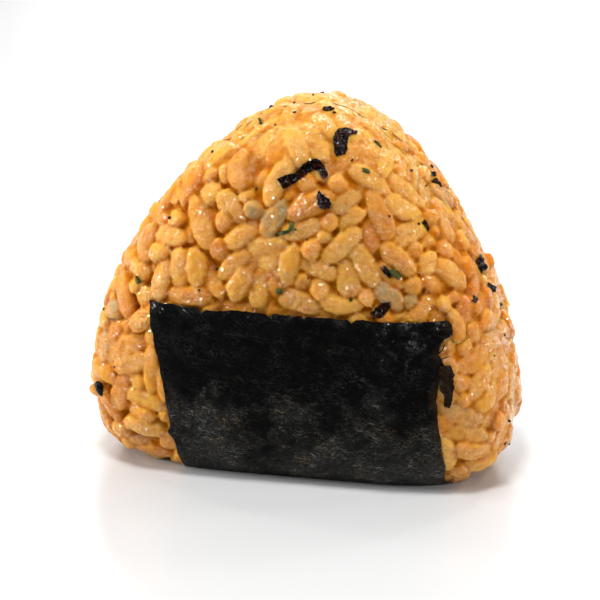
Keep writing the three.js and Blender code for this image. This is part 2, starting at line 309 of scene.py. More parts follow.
def pole_grid(rings, sides):
    """Along, around, quads and end triangles of a grid: its rings first, then two poles."""
    turns = np.pi * (np.arange(rings) + 1) / (rings + 1)
    along = np.repeat(-np.cos(turns), sides)
    around = np.tile(2 * np.pi * np.arange(sides) / sides, rings)
    along = np.concatenate([along, [-1, 1]])
    around = np.concatenate([around, [0, 0]])
    start, end = rings * sides, rings * sides + 1
    last = (rings - 1) * sides
    pairs = [(side, (side + 1) % sides) for side in range(sides)]
    quads, caps = [], []
    for low in range(0, last, sides):
        high = low + sides
        quads += [(low + side, low + after, high + after, high + side) for side, after in pairs]
    for side, after in pairs:
        caps += [(start, after, side), (end, last + side, last + after)]
    return along, around, np.array(quads), np.array(caps)


along, around, grain_quads, grain_caps = pole_grid(RINGS, SIDES)
print("a grain has", len(along), "points and", len(grain_quads) + len(grain_caps), "faces")

# %% [markdown]
# ## One grain's form
#
# A cooked grain of short-grain rice is plump and a little flattened, blunter at one end,
# slightly bent, and never quite regular. Each ring's radius comes from a power curve,
# and slow waves, different on each grain, make it uneven. Only the grains near enough to
# the surface to be seen are grown.

# %% The free grains
GRAIN_THICKNESS = 3.7
CORE_REACH = 0.96  # how much of a grain's axis its core line takes
HIDDEN_DEPTH = 1.9  # a grain whose top lies deeper is never seen
HIDDEN_UNDER_NORI = 2.6

seen = top_depth < HIDDEN_DEPTH
seen &= under_strip(middles) < HIDDEN_UNDER_NORI
grains = np.nonzero(seen)[0]


def across_axes(axes, inward):
    """Two directions across each grain: in the surface, and out of it."""
    side = np.cross(axes, -inward)
    side /= np.linalg.norm(side, axis=-1, keepdims=True)
    return side, np.cross(side, axes)


def grown_grains(grains):
    """The points of each free grain, before its neighbours press it, and its core line."""
    def each(low, high):
        return rng.uniform(low, high, (len(grains), 1))

    blunt = each(1.8, 2.4)
    profile = (1 - np.abs(along) ** blunt).clip(0, 1) ** each(0.45, 0.57)
    taper = 1 + each(-0.26, 0.26) * along
    waves = 1
    for beat in (1, 2, 3, 4):
        lean = each(0, 2 * np.pi)
        pace = each(1.0, 5.0)
        waves = waves + each(0.02, 0.07) * np.sin(beat * around + pace * along + lean)
    boxy = each(2.0, 3.0)
    flats = (np.abs(np.cos(around)) ** boxy + np.abs(np.sin(around)) ** boxy) ** (-1 / boxy)
    radius = profile * taper * waves * flats / flats.mean(axis=1, keepdims=True)
    thickness = GRAIN_THICKNESS / GRAIN_WIDTH * each(0.9, 1.12)
    width = widths[grains][:, None] / 2
    bend = each(-0.8, 0.8) * (along**2 - 0.4)
    line = along * (lengths[grains] / 2)[:, None]
    offside = radius * np.cos(around) * width + bend
    offtop = radius * np.sin(around) * width * thickness

    _, inward = depth_and_inward(middles[grains])
    side, top = across_axes(axes[grains], inward)
    centre = middles[grains][:, None]
    reach = (half_axes[grains] * CORE_REACH)[:, None]
    core_line = centre + axes[grains][:, None] * line.clip(-reach, reach)[..., None]
    points = centre + axes[grains][:, None] * line[..., None]
    points = points + side[:, None] * offside[..., None] + top[:, None] * offtop[..., None]
    return points, core_line


grain_points, core_line = grown_grains(grains)
print(len(grains), "grains show,", len(grains) * 2 * SIDES * RINGS, "triangles")

# %% [markdown]
# ## Pressing grains against each other
#
# Soft grains that touch flatten where they meet. Each point of a grain is drawn back
# towards the grain's own middle line until it is no nearer to a neighbour's line than to
# its own. That splits the space between two grains evenly, like soap bubbles, and a
# soft minimum rounds the rim of each flat patch. Overlapping shapes are never left, so
# the seams between grains are fine, clean creases.

# %% Contact between grains
CONTACT_STEPS = 8
CONTACT_ROUNDING = 10.0
CONTACT_LEAST = 0.3  # the shares of its arm between which a point's place is sought
CONTACT_MOST = 1.7
CONTACT_GAP = 0.97  # a grain stops this share of the way to where it would touch
CONTACT_REACH = 1.2  # grains nearer than this many lengths may touch
FIRMNESS = 0.4  # how much more room an outer grain claims than one below it
FIRMNESS_SPREAD = 0.3
OUTER_DEPTH, INNER_DEPTH = 1.4, 4.0

middle_depth, _ = depth_and_inward(middles)
firmness = 1 - smoothstep(OUTER_DEPTH, INNER_DEPTH, middle_depth)
firmness += rng.uniform(-FIRMNESS_SPREAD, FIRMNESS_SPREAD, SHELL_COUNT)
claims = widths / 2 * (1 + FIRMNESS * firmness)


def nearest_share(points, start, lengthwise, half, radius):
    """Distance from points to each neighbour's line, as a share of its radius."""
    to_point = points[:, None] - start[None]
    run = np.sum(to_point * lengthwise[None], axis=-1).clip(-half, half)
    return np.linalg.norm(to_point - run[..., None] * lengthwise, axis=-1) / radius


def pressed_grain(index):
    """How far out each point of a grain may stay: 1 is where it was."""
    grain = grains[index]
    apart = np.linalg.norm(middles - middles[grain], axis=1)
    near = np.nonzero((apart < GRAIN_LENGTH * CONTACT_REACH) & (apart > 0))[0]
    own_line = core_line[index]
    arm = grain_points[index] - own_line
    own_share = np.linalg.norm(arm, axis=1) / claims[grain]
    low = np.full(len(arm), CONTACT_LEAST)
    high = np.full(len(arm), CONTACT_MOST)
    for _ in range(CONTACT_STEPS):
        middle = (low + high) / 2
        spot = own_line + arm * middle[:, None]
        theirs = nearest_share(spot, middles[near], axes[near], half_axes[near], claims[near])
        free = theirs.min(axis=1) > middle * own_share
        low = np.where(free, middle, low)
        high = np.where(free, high, middle)
    low = low * CONTACT_GAP
    return (low**-CONTACT_ROUNDING + 1) ** (-1 / CONTACT_ROUNDING)


shares = np.stack([pressed_grain(index) for index in range(len(grains))])
grain_points = core_line + (grain_points - core_line) * shares[..., None]
print("grains keep", round(float(shares.mean()), 2), "of their reach on average")

# %% [markdown]
# ## Pressing grains against the mould
#
# The film that the rice was pressed in left its rim and its upper edge nearly flat,
# while the front stayed lumpy. Each grain gets its own small freedom to stand proud, and
# points beyond it are drawn in along the surface's own direction, softly, so that a
# pressed grain keeps a slight crown.

# %% Contact with the mould
PROUD_RANGE = (-0.5, 1.0)  # how far grains stand proud, before the next two scale it
PROUD_FRONT = 0.8
PROUD_RIM = 1.0
SOFT_FRONT = 0.4
SOFT_RIM = 0.3
SUNK_UNDER_NORI = 0.15
FREE_OF_FOOT = 2
FOOT_GAP = 0.12


def soft_floor(value, softness):
    """value where it is well above zero, and never under zero."""
    return softness * np.logaddexp(0, value / softness)


def pressed_to_mould(points, proud, softness):
    depth, inward = depth_and_inward(points)
    kept = soft_floor(depth + proud, softness) - proud
    return points + inward * (kept - depth)[..., None]


grain_faces_front = np.abs(outward(middles[grains])[:, 1])
looseness = smoothstep(0.55, 0.9, grain_faces_front)
covered = smoothstep(-0.1, 0.9, under_strip(grain_points))
proud = rng.uniform(*PROUD_RANGE, len(grains))
proud *= PROUD_RIM + (PROUD_FRONT - PROUD_RIM) * looseness
proud = proud[:, None] * (1 - covered) - SUNK_UNDER_NORI * covered
proud = np.minimum(proud, grain_points[..., 2] + CENTRE_HEIGHT + FREE_OF_FOOT)
softness = (SOFT_RIM + (SOFT_FRONT - SOFT_RIM) * looseness)[:, None]
grain_points = pressed_to_mould(grain_points, proud, softness)
grain_points[..., 2] = np.maximum(grain_points[..., 2], FOOT_GAP - CENTRE_HEIGHT)
grain_depth, _ = depth_and_inward(grain_points)
print("grains stand out of the mould by", round(-grain_depth.min(), 2), "mm at most")

# %% [markdown]
# ## The grains as one surface
#
# The steps below often ask what lies under a point: which grain, and how far away. To
# try every face each time would take hours, and a search tree answers at once. It is
# built from the faces of all grains in one list, with a second list that tells which
# grain each face belongs to.

# %% A search tree over the grains
def faces_of_grains(count):
    """The faces of this many grains, whose points follow each other grain by grain."""
    starts = (np.arange(count) * len(along))[:, None, None]
    quads, caps = grain_quads + starts, grain_caps + starts
    return quads.reshape(-1, 4).tolist() + caps.reshape(-1, 3).tolist()


face_grain = np.concatenate(
    [np.repeat(np.arange(len(grains)), len(kind)) for kind in (grain_quads, grain_caps)]
)
grain_tree = BVHTree.FromPolygons(grain_points.reshape(-1, 3).tolist(), faces_of_grains(len(grains)))
print("the tree holds", len(face_grain), "faces")

# %% [markdown]
# ## Ripples
#
# Nothing made of food is smooth or regular. A sum of waves in many directions gives an
# uneven value at every point in space. It is used for lumps, dents, wrinkles and patches
# alike, each with its own wavelength in millimetres and its own seed. Blender's noise
# textures could do it, but a short formula is quick on half a million points.

# %% Ripples
def ripples(points, wavelength, waves, seed):
    """Smooth uneven values near 0 all over space: a sum of waves in many directions."""
    source = np.random.default_rng(seed)
    ways = source.normal(size=(waves, 3))
    ways /= np.linalg.norm(ways, axis=1, keepdims=True)
    pace = 2 * np.pi / (wavelength * source.uniform(0.7, 1.4, waves))
    phase = source.uniform(0, 2 * np.pi, waves)
    total = np.sin(points @ (ways * pace[:, None]).T + phase).sum(axis=-1)
    return total / math.sqrt(waves)


print("one ripple:", ripples(np.eye(3), 2.2, 30, 3).round(2))

# %% [markdown]
# ## A fine grid over the body
#
# The filling between the grains is one closed skin over the whole body, so it needs a
# grid without a gap or a crowded pole. A box has one: its six sides are divided into
# small squares and each point is then carried out to the mould's surface. Averaging
# values with their neighbours on this grid is how heights are made even later.

# %% A grid over the mould
FILL_STEP = 0.46
BOX = np.array([36.5, 18.0, 30.5])


def box_grid(half, step):
    """A closed grid over a box: its points and its quads, welded along the edges."""
    points, quads, start = [], [], 0
    for axis in range(3):
        first, second = (axis + 1) % 3, (axis + 2) % 3
        u = np.linspace(-1, 1, round(2 * half[first] / step) + 1)
        v = np.linspace(-1, 1, round(2 * half[second] / step) + 1)
        for sign in (-1, 1):
            side = np.zeros((len(u), len(v), 3))
            side[..., axis] = sign
            side[..., first] = u[:, None]
            side[..., second] = v[None]
            index = start + np.arange(len(u) * len(v)).reshape(len(u), len(v))
            corners = [index[:-1, :-1], index[1:, :-1], index[1:, 1:], index[:-1, 1:]]
            quads.append(np.stack(corners[::sign], axis=-1).reshape(-1, 4))
            points.append((side * half).reshape(-1, 3))
            start += len(u) * len(v)
    points = np.concatenate(points)
    _, kept, merged = np.unique(points.round(6), axis=0, return_index=True, return_inverse=True)
    return points[kept], merged.reshape(-1)[np.concatenate(quads)]


def smoothed(values, quads, rounds):
    """Values on a grid's points, averaged with their neighbours again and again."""
    ends = np.concatenate([quads[:, [0, 1]], quads[:, [1, 2]], quads[:, [2, 3]], quads[:, [3, 0]]])
    meets = np.bincount(ends[:, 0], minlength=len(values))
    for _ in range(rounds):
        around = np.bincount(ends[:, 0], values[ends[:, 1]], len(values))
        values = (values + around / meets) / 2
    return values


fill_ways, fill_quads = box_grid(BOX, FILL_STEP)
fill_surface = on_mould(fill_ways)
fill_out = outward(fill_surface)
print("the grid has", len(fill_surface), "points")

# %% [markdown]
# ## The sticky rice between the grains
#
# Starch and sauce fill the creases between pressed grains, so one never looks far in. A
# plain smooth body behind the grains would leave deep black gaps or drown them all.
# From each point of the grid a ray is cast inwards to learn how high the grains stand
# there. Smoothing those heights lifts the filling into the creases and drops it under
# the crowns, which then stand clear of it as grains do in a sticky mass.

# %% The filling
FILL_SINK = 0.22
FILL_SMOOTHING = 9
FILL_UNEVEN = 0.1
DEEPEST_LOOK = -2.6
HIGHEST_GRAIN = 3


def grain_heights(points, out):
    """How far the grains stand out of the mould's surface at these points."""
    heights = []
    for point, way in zip(points, out):
        start, longest = Vector(point + HIGHEST_GRAIN * way), HIGHEST_GRAIN - DEEPEST_LOOK
        distance = grain_tree.ray_cast(start, Vector(-way), longest)[3]
        heights.append(DEEPEST_LOOK if distance is None else HIGHEST_GRAIN - distance)
    return np.array(heights)


heights = grain_heights(fill_surface, fill_out)
fill_height = smoothed(heights, fill_quads, FILL_SMOOTHING) - FILL_SINK
fill_height += FILL_UNEVEN * ripples(fill_surface, 2.2, 30, 3)
print("the grains stand", heights.mean().round(2), "mm out of the mould on average")

# %% [markdown]
# ## Where the rice was pressed harder
#
# Round the rim, over the top and in some patches the grains are fused, and only low
# waves tell of them. There the filling stands higher than the grains' own mean height.
# Each zone fades in by a smooth step, whose first two numbers say where the zone starts
# and where it is full, and the strongest zone wins. Under the nori the filling drops out
# of sight, and along its edge it is kept up, so that no gap shows.

# %% Fused zones
FUSED_LIFT = 0.15  # how far the filling stands over the grains' mean height
FUSED_SMOOTHING = 60
RIM_FUSED = 0.6
FLANK_FUSED = 0.8
FILL_UNDER_NORI = -1.1
BESIDE_NORI = -0.6  # the filling stands at least so high along the nori's edge
BESIDE_DROP = 2.5
FILL_OVER_FOOT = 0.2

from_floor = fill_surface[:, 2] + CENTRE_HEIGHT
rim = RIM_FUSED * smoothstep(0.8, 0.45, np.abs(fill_out[:, 1])) * smoothstep(30, 45, from_floor)
crest = smoothstep(50, 59, from_floor)
patches = smoothstep(0.3, 1.4, ripples(fill_surface, 13, 24, 4))
flank = smoothstep(27, 32, fill_surface[:, 0])
flank *= smoothstep(-1.0, 0.8, ripples(fill_surface, 10, 24, 5))
fused = np.max([rim, crest, patches, FLANK_FUSED * flank], axis=0)
level = np.maximum(smoothed(heights, fill_quads, FUSED_SMOOTHING) + FUSED_LIFT, fill_height)
fill_height += fused * (level - fill_height)

inside_strip = under_strip(fill_surface)
under = smoothstep(0.6, 2.4, inside_strip)
beside = smoothstep(-3.0, -0.6, inside_strip)
fill_height = np.maximum(fill_height, BESIDE_NORI + BESIDE_DROP * (beside - 1))
fill_height = fill_height * (1 - under) + FILL_UNDER_NORI * under
fill_points = fill_surface + fill_out * fill_height[:, None]
fill_points[:, 2] = np.maximum(fill_points[:, 2], FILL_OVER_FOOT - CENTRE_HEIGHT)
showing = (fill_height > heights) & (under < 0.1)
print("the filling shows on", round(100 * showing.mean()), "% of the surface")

# %% [markdown]
# ## From numbers to a mesh
#
# Up to here the rice is only lists of numbers. One helper turns points and faces into a
# Blender object: it lifts them to stand on the ground, scales them to metres and shades
# them smoothly. Every piece is made with it, so it also says how large each one is.

# %% A mesh of points and faces
def mesh_object(name, points, faces, material=None):
    """A mesh from points in millimetres, measured from the middle of the body."""
    mesh = bpy.data.meshes.new(name)
    placed = (np.asarray(points, float) + (0, 0, CENTRE_HEIGHT)) * MM
    mesh.from_pydata(placed.tolist(), [], faces)
    mesh.polygons.foreach_set("use_smooth", np.ones(len(mesh.polygons), bool))
    mesh.update()
    made = bpy.data.objects.new(name, mesh)
    bpy.context.collection.objects.link(made)
    if material:
        mesh.materials.append(material)
    print(name, "has", len(mesh.polygons), "faces")
    return made


# %% [markdown]
# ## One skin over grains and filling
#
# Light that enters cooked rice wanders from grain to grain through the sticky joints.
# Separate meshes would stop it at every joint and draw dark lines there. A voxel remesh
# joins all the grains and the filling in one closed skin, in which every grain keeps its
# form and the joints become soft creases. It is made in four quarters that run a little
# into each other, as one mesh this fine would be too heavy to handle, and small ripples
# then make its faces uneven.

# %% The skin
SKIN_STEP = 0.29
LAP = 0.3  # quarters of the skin run this far into each other
DENTS = 0.045  # how far the skin is uneven in itself
WIDE_DENTS = 1.4 * DENTS
SPLIT_HEIGHT = 27.0 - CENTRE_HEIGHT
QUARTERS = {
    "rice_front_low": (-1, -1),
    "rice_front_high": (-1, 1),
    "rice_back_low": (1, -1),
    "rice_back_high": (1, 1),
}


def voxel_skin(points, faces, step):
    rough = mesh_object("rough_rice", points, faces)
    remesh = rough.modifiers.new("skin", "REMESH")
    remesh.mode = "VOXEL"
    remesh.voxel_size = step * MM
    evaluated = rough.evaluated_get(bpy.context.evaluated_depsgraph_get())
    mesh = bpy.data.meshes.new_from_object(evaluated)
    found = np.empty(3 * len(mesh.vertices))
    mesh.vertices.foreach_get("co", found)
    corners = np.empty(len(mesh.loops), int)
    mesh.loops.foreach_get("vertex_index", corners)
    bpy.data.objects.remove(rough)
    return found.reshape(-1, 3) / MM - (0, 0, CENTRE_HEIGHT), corners.reshape(-1, 4)


def skin_part(side, level):
    """The skin of one quarter: side -1 is the front, level -1 the lower part."""
    grain_middles = middles[grains]
    mine = (side * grain_middles[:, 1] > 0) & (level * (grain_middles[:, 2] - SPLIT_HEIGHT) > 0)
    mine_points = grain_points[mine].reshape(-1, 3)
    filling = fill_points.copy()
    filling[:, 1] = side * np.maximum(side * filling[:, 1], -LAP)
    from_split = np.maximum(level * (filling[:, 2] - SPLIT_HEIGHT), -LAP)
    filling[:, 2] = SPLIT_HEIGHT + level * from_split
    faces = faces_of_grains(mine.sum()) + (fill_quads + len(mine_points)).tolist()
    points, quads = voxel_skin(np.concatenate([mine_points, filling]), faces, SKIN_STEP)
    dents = DENTS * ripples(points, 1.5, 40, 32) + WIDE_DENTS * ripples(points, 3.2, 30, 33)
    return points + outward(points) * dents[:, None], quads


rice_skins = []
for name, quarter in QUARTERS.items():
    points, quads = skin_part(*quarter)
    rice_skins.append((mesh_object(name, points, quads.tolist()), points, quads))
rice_parts = [piece for piece, _, _ in rice_skins]

# %% [markdown]
# ## Colour that belongs to each grain
#
# Rice seasoned with soy sauce is not one colour. Some grains took up more sauce, some
# stayed pale, a few are greyish and clear, and sauce gathers in the creases, where shade
# is painted in as well. Every point of the skin finds the grain it lies on, and these
# values are written on the mesh as a colour attribute: how dark the grain is, how much
# sauce and painted shade lies there, and how clear the grain is. The material reads them.

# %% Tones of the grains
CLEAR_PLACES = (
    (-6.5, -17.0, 49.5), (-4.0, -17.4, 46.5), (4.0, -15.5, 56.0),
    (17.0, -16.5, 37.0), (19.5, -15.8, 34.0), (-33.0, -11.0, 27.0),
)
CLEAR_SHARE = 0.03  # of the other grains, which are clear only in part
PARTLY_CLEAR = 0.4
shade = rng.beta(1.3, 1.5, len(grains))
clear = PARTLY_CLEAR * (rng.random(len(grains)) < CLEAR_SHARE)
for place in CLEAR_PLACES:
    away = np.linalg.norm(middles[grains] - np.array(place) + (0, 0, CENTRE_HEIGHT), axis=1)
    clear[np.argmin(away)] = 1.0
print((clear > 0).sum(), "grains are clear")

# %% [markdown]
# ## Tones over the whole skin
#
# A grain's tone alone would look painted on, so it changes over the surface. How deep a
# point lies under the skin around it tells where sauce gathered and where shade is painted:
# close by for the fine creases, further off for the hollows. Towards the flanks the tone is
# deeper. The crest is paler, partly as painted light from above, and the foot is paler
# with less painted shade, as painted fill light. Then the tones are smoothed a little, as
# sauce soaks past a grain's rim.

# %% Tones on the skin
# Sauce in creases and hollows is also painted shade, and the foot gets painted fill light.
HOLLOW_SAUCE_AND_SHADE = 0.85
GROOVE_SAUCE_AND_SHADE = 0.6
FILLING_SAUCE = 0.25
FOOT_PAINTED_FILL = 0.35
FLANK_DEEPER = {"right": 0.4, "left": 0.15}
FOOT_PALER = 0.15
CREST_PALER = 0.3
HOLLOW_DEEPER = 0.4
RAISED_PALER = 0.15


def add_tones(piece, tones):
    attribute = piece.data.color_attributes.new("tones", "FLOAT_COLOR", "POINT")
    filled = np.ones((len(tones), 4))
    filled[:, :3] = tones
    attribute.data.foreach_set("color", filled.ravel())


def skin_tones(points, quads):
    depth, _ = depth_and_inward(points)
    below = depth - smoothed(depth, quads, 80)
    groove = depth - smoothed(depth, quads, 8)
    found = [grain_tree.find_nearest(Vector(point)) for point in points]
    on_grain = face_grain[[hit[2] for hit in found]]
    off_grain = smoothstep(0.12, 0.5, np.array([hit[3] for hit in found]))
    # Painted shade with sauce: creases and hollows get the deep sauce colour where shade falls.
    soak_and_shade = HOLLOW_SAUCE_AND_SHADE * smoothstep(0.1, 0.75, below) + GROOVE_SAUCE_AND_SHADE * smoothstep(0.01, 0.08, groove)
    soak_and_shade += FILLING_SAUCE * off_grain

    side_deeper = np.where(points[:, 0] > 0, FLANK_DEEPER["right"], FLANK_DEEPER["left"])
    deeper = side_deeper * smoothstep(20, 31, np.abs(points[:, 0]))
    # Painted light, in part: the crest is made paler, as if lit from above.
    paler = CREST_PALER * smoothstep(50, 60, points[:, 2] + CENTRE_HEIGHT)
    # Painted shade with sauce: points lower than the skin around them get a deeper tone.
    hollow = HOLLOW_DEEPER * smoothstep(-0.06, 0.14, depth - smoothed(depth, quads, 25))
    # Painted fill light: near the foot the tone is paler and the creases get less painted shade.
    foot = smoothstep(26, 8, points[:, 2] + CENTRE_HEIGHT)
    tone = shade[on_grain] - paler + deeper + (hollow - RAISED_PALER) - FOOT_PALER * foot
    soak_and_shade *= 1 - FOOT_PAINTED_FILL * foot
    tones = np.stack([tone, soak_and_shade, clear[on_grain] * (1 - off_grain)], axis=-1)
    for column in (0, 2):
        tones[:, column] = smoothed(tones[:, column], quads, 3)
    return tones.clip(0, 1)


for piece, points, quads in rice_skins:
    tones = skin_tones(points, quads)
    add_tones(piece, tones)
    print(piece.name, "has mean tone, sauce and clearness", tones.mean(axis=0).round(2))

# %% [markdown]
# ## Short words for nodes
#
# A material is a net of nodes. Written out, each node takes several lines, and the same
# few kinds come back in every finish. So one helper adds any node, with each input given
# as a value or as another node's output, and the common kinds get a short name. All
# textures read the object's own coordinates, so that they stay on the piece. Those are
# in metres, so a noise with a scale of 500 has lumps of about 2 mm.

# %% Nodes
def add_node(tree, kind, inputs, **settings):
    node = tree.nodes.new(kind)
    for name, value in settings.items():
        setattr(node, name, value)
    fill_in(tree, node, inputs)
    return node


def fill_in(tree, node, inputs):
    """Each input, by name or number, is linked to a socket or set to a value."""
    for key, value in inputs.items():
        if isinstance(value, bpy.types.NodeSocket):
            tree.links.new(value, node.inputs[key])
        else:
            node.inputs[key].default_value = value


def object_place(tree):
    return add_node(tree, "ShaderNodeTexCoord", {}).outputs["Object"]


def noise(tree, scale, detail=2.0, rough=0.5):
    inputs = {"Vector": object_place(tree), "Scale": scale, "Detail": detail, "Roughness": rough}
    return add_node(tree, "ShaderNodeTexNoise", inputs).outputs["Fac"]


def remap(tree, value, from_low, from_high, to_low, to_high):
    ends = {"From Min": from_low, "From Max": from_high, "To Min": to_low, "To Max": to_high}
    return add_node(tree, "ShaderNodeMapRange", {"Value": value, **ends}).outputs["Result"]


def calculate(tree, operation, first, second, clamp=False):
    inputs = {0: first, 1: second}
    node = add_node(tree, "ShaderNodeMath", inputs, operation=operation, use_clamp=clamp)
    return node.outputs[0]


def vector_step(tree, operation, inputs):
    return add_node(tree, "ShaderNodeVectorMath", inputs, operation=operation).outputs["Vector"]


def mix_colour(tree, factor, first, second):
    inputs = {0: factor, 6: first, 7: second}
    return add_node(tree, "ShaderNodeMix", inputs, data_type="RGBA").outputs[2]


def bump(tree, height, distance, strength=1.0, under=None):
    inputs = {"Height": height, "Distance": distance, "Strength": strength}
    if under:
        inputs["Normal"] = under
    return add_node(tree, "ShaderNodeBump", inputs).outputs["Normal"]


def painted_tones(tree):
    """The three tones written on the piece, one after the other."""
    painted = add_node(tree, "ShaderNodeVertexColor", {}, layer_name="tones").outputs["Color"]
    parts = add_node(tree, "ShaderNodeSeparateColor", {"Color": painted})
    return parts.outputs["Red"], parts.outputs["Green"], parts.outputs["Blue"]


def new_material(name):
    material = bpy.data.materials.new(name)
    material.use_nodes = True
    print("finish:", name)
    return material, material.node_tree, material.node_tree.nodes["Principled BSDF"]


words = (noise, remap, calculate, vector_step, mix_colour, bump, painted_tones)
print("short words:", ", ".join(word.__name__ for word in words))

# %% [markdown]
# ## A crinkled wet film
#
# Sauce and starch leave a thin wet film on the rice, and wet seaweed has one too. It is
# crinkled, and each of its small facets catches a lamp or misses it, which gives the
# bright sparks that make food look moist. A bump map would blur them, being finer than
# the picture can show, so the film's normal is tipped by a random amount in each cell of
# a Voronoi pattern instead. Thin ridges come from noise folded at its middle value.

# %% Ridges and facets
FACETS = 2800  # facets of the crinkled film, in cells to the metre
MIDDLE = 0.5  # what noise, and each part of a cell's random colour, is on average
RIDGE_WIDTH = 0.25


def ridged(tree, scale):
    """Thin sharp ridges between round hollows."""
    from_middle = calculate(tree, "SUBTRACT", noise(tree, scale, 1.5), MIDDLE)
    return remap(tree, calculate(tree, "ABSOLUTE", from_middle, 0), 0, RIDGE_WIDTH, 1, 0)


def faceted(tree, normal, amount, scale):
    """The normal tilted another way in each small cell."""
    cells = add_node(tree, "ShaderNodeTexVoronoi", {"Vector": object_place(tree), "Scale": scale})
    tilt = vector_step(tree, "SUBTRACT", {0: cells.outputs["Color"], 1: (MIDDLE, MIDDLE, MIDDLE)})
    tilt = vector_step(tree, "SCALE", {0: tilt, "Scale": amount})
    tilted = vector_step(tree, "ADD", {0: normal, 1: tilt})
    return vector_step(tree, "NORMALIZE", {0: tilted})


print("a facet is about", round(1000 / FACETS, 2), "mm wide")

# %% [markdown]
# ## Rice: the material
#
# Cooked rice lets light in and scatters it, so subsurface scattering does most of the
# work, red further than blue. The colours blend from straw to amber by the grain's own
# tone, and to a deep orange where sauce gathers, which is also painted shade in the creases
# and hollows. The wet film on top is a coat with little roughness. It is thin where the
# surface is smooth, and nearly gone in the creases, where its shine would turn the sauce grey.

# %% The rice material
STRAW = (0.65, 0.33, 0.043, 1)
AMBER = (0.54, 0.175, 0.0, 1)
# Sauce colour, darker than amber: it is also painted shade in the creases and hollows.
SAUCE_AND_SHADE = (0.48, 0.135, 0.0, 1)
CLEAR_GRAIN = (0.35, 0.24, 0.088, 1)
LEAST_WRINKLED = 0.15
RICE_SURFACE = {
    "Roughness": 0.4,
    "Specular IOR Level": 0.05,
    "Coat IOR": 1.58,
    "Coat Roughness": 0.04,
    "Subsurface Weight": 1.0,
    "Subsurface Radius": (1.0, 0.5, 0.16),
    "Subsurface Scale": 0.002,
}


def rice_colour(tree, own_tone, sauce_and_shade, clear_part):
    mottle = remap(tree, noise(tree, 450, 3), 0.3, 0.7, -0.3, 0.3)
    tone = calculate(tree, "ADD", own_tone, mottle, clamp=True)
    colour = mix_colour(tree, tone, STRAW, AMBER)
    cloudy = remap(tree, noise(tree, 600, 2), 0.35, 0.6, 0.3, 0.9)
    colour = mix_colour(tree, calculate(tree, "MULTIPLY", clear_part, cloudy), colour, CLEAR_GRAIN)
    return mix_colour(tree, sauce_and_shade, colour, SAUCE_AND_SHADE)


def rice_material():
    material, tree, shader = new_material("soy_rice")
    own_tone, sauce_and_shade, clear_part = painted_tones(tree)
    wrinkled = remap(tree, noise(tree, 230, 2), 0.33, 0.5, LEAST_WRINKLED, 1)
    ridges = calculate(tree, "MULTIPLY", ridged(tree, 900), wrinkled)
    lumps = bump(tree, noise(tree, 650, 2), 0.0005, 0.6)
    film = bump(tree, ridges, 0.0002, under=lumps)
    tilt = remap(tree, wrinkled, LEAST_WRINKLED, 1, 0.6, 1.5)
    wet = remap(tree, wrinkled, LEAST_WRINKLED, 1, 0.25, 1)
    dry_crease = remap(tree, sauce_and_shade, 0.15, 0.8, 1, 0.05)
    fill_in(tree, shader, RICE_SURFACE)
    fill_in(tree, shader, {
        "Base Color": rice_colour(tree, own_tone, sauce_and_shade, clear_part),
        "Normal": bump(tree, ridges, 0.00012, under=lumps),
        "Coat Normal": faceted(tree, film, tilt, FACETS),
        "Coat Weight": calculate(tree, "MULTIPLY", wet, dry_crease),
    })
    return material


rice_finish = rice_material()
for piece in rice_parts:
    piece.data.materials.append(rice_finish)

# %% [markdown]
# ## The nori
#
# A sheet of nori is 0.2 mm of dried seaweed, pressed like paper. Round a moist rice ball
# it softens, clings to the grains and shows them as low bumps, while its edge goes
# ragged. A cloth simulation could drape it, but would slip and fold where it likes. A
# fine grid laid along the strip's outline is surer. Each of its points is given by its
# place across the strip and its wrap angle, and is found on the mould by halving.

# %% Points of the strip
def top_angle(x, height):
    z = height - CENTRE_HEIGHT
    depth = HALF_THICKNESS * (1 - outline(x, z) ** FACE_SHARPNESS) ** (1 / FACE_SHARPNESS)
    return np.arctan2(depth, -z)


def wrap_points(x, angle):
    """The mould's surface at x and a wrap angle, found by halving."""
    way = np.stack([0 * angle, -np.sin(angle), -np.cos(angle)], axis=-1)
    start = np.stack([x, 0 * x, 0 * x], axis=-1)
    low, high = np.zeros_like(x), np.full_like(x, 2 * CENTRE_HEIGHT)
    for _ in range(30):
        middle = (low + high) / 2
        inside = gauge(start + way * middle[..., None]) < 1
        low = np.where(inside, middle, low)
        high = np.where(inside, high, middle)
    return start + way * low[..., None]


print("the front's upper edge is at", round(math.degrees(top_angle(0.0, NORI_TOP["front"]))), "degrees")

# %% [markdown]
# ## The nori's torn edges
#
# A moist sheet doesn't keep a straight cut: it shrinks and frays. Its edges follow small
# steps, and steps on those steps, as a coastline does. A list of points for every edge
# would be long, so only the right edge has one, as it lost whole bits there. The top
# edge has a few nicks.

# %% The sheet's outline
NORI_ROWS = 250
NORI_COLUMNS = 156
NOTCHES = (-2.5, 3.3, 11.4, -14.0)  # where in x the top edge is nicked
NOTCH_DEPTH, NOTCH_WIDTH = 0.6, 0.4
BITE_DEPTH, BITE_HEIGHT = 0.9, 7.6  # a bite in the left edge, and its height over the foot
# The front's right edge as it tore: height above the standing surface, and its place in x.
RIGHT_TEARS = (
    (31.6, 26.0), (30.6, 26.7), (28.4, 26.9), (27.8, 25.6), (25.2, 25.3), (24.0, 25.7),
    (22.4, 26.4), (20.6, 26.2), (19.9, 25.2), (16.5, 25.1), (13.0, 25.4), (10.0, 25.7),
    (6.0, 26.1), (4.0, 26.4), (2.0, 26.0), (0.0, 25.9),
)
JAG_LEVELS = 5
JAG_KNOTS = 400


def jag(values, pace, seed):
    """Small sharp steps along an edge, as a tear leaves."""
    source = np.random.default_rng(seed)
    total = 0
    for octave in range(JAG_LEVELS):
        knots = source.uniform(-1, 1, JAG_KNOTS)
        at = (values + JAG_KNOTS / 2) * pace * 1.9**octave
        whole = np.floor(at).astype(int)
        here, there = knots[whole % JAG_KNOTS], knots[(whole + 1) % JAG_KNOTS]
        total = total + (here + (there - here) * (at - whole)) * 0.6**octave
    return total


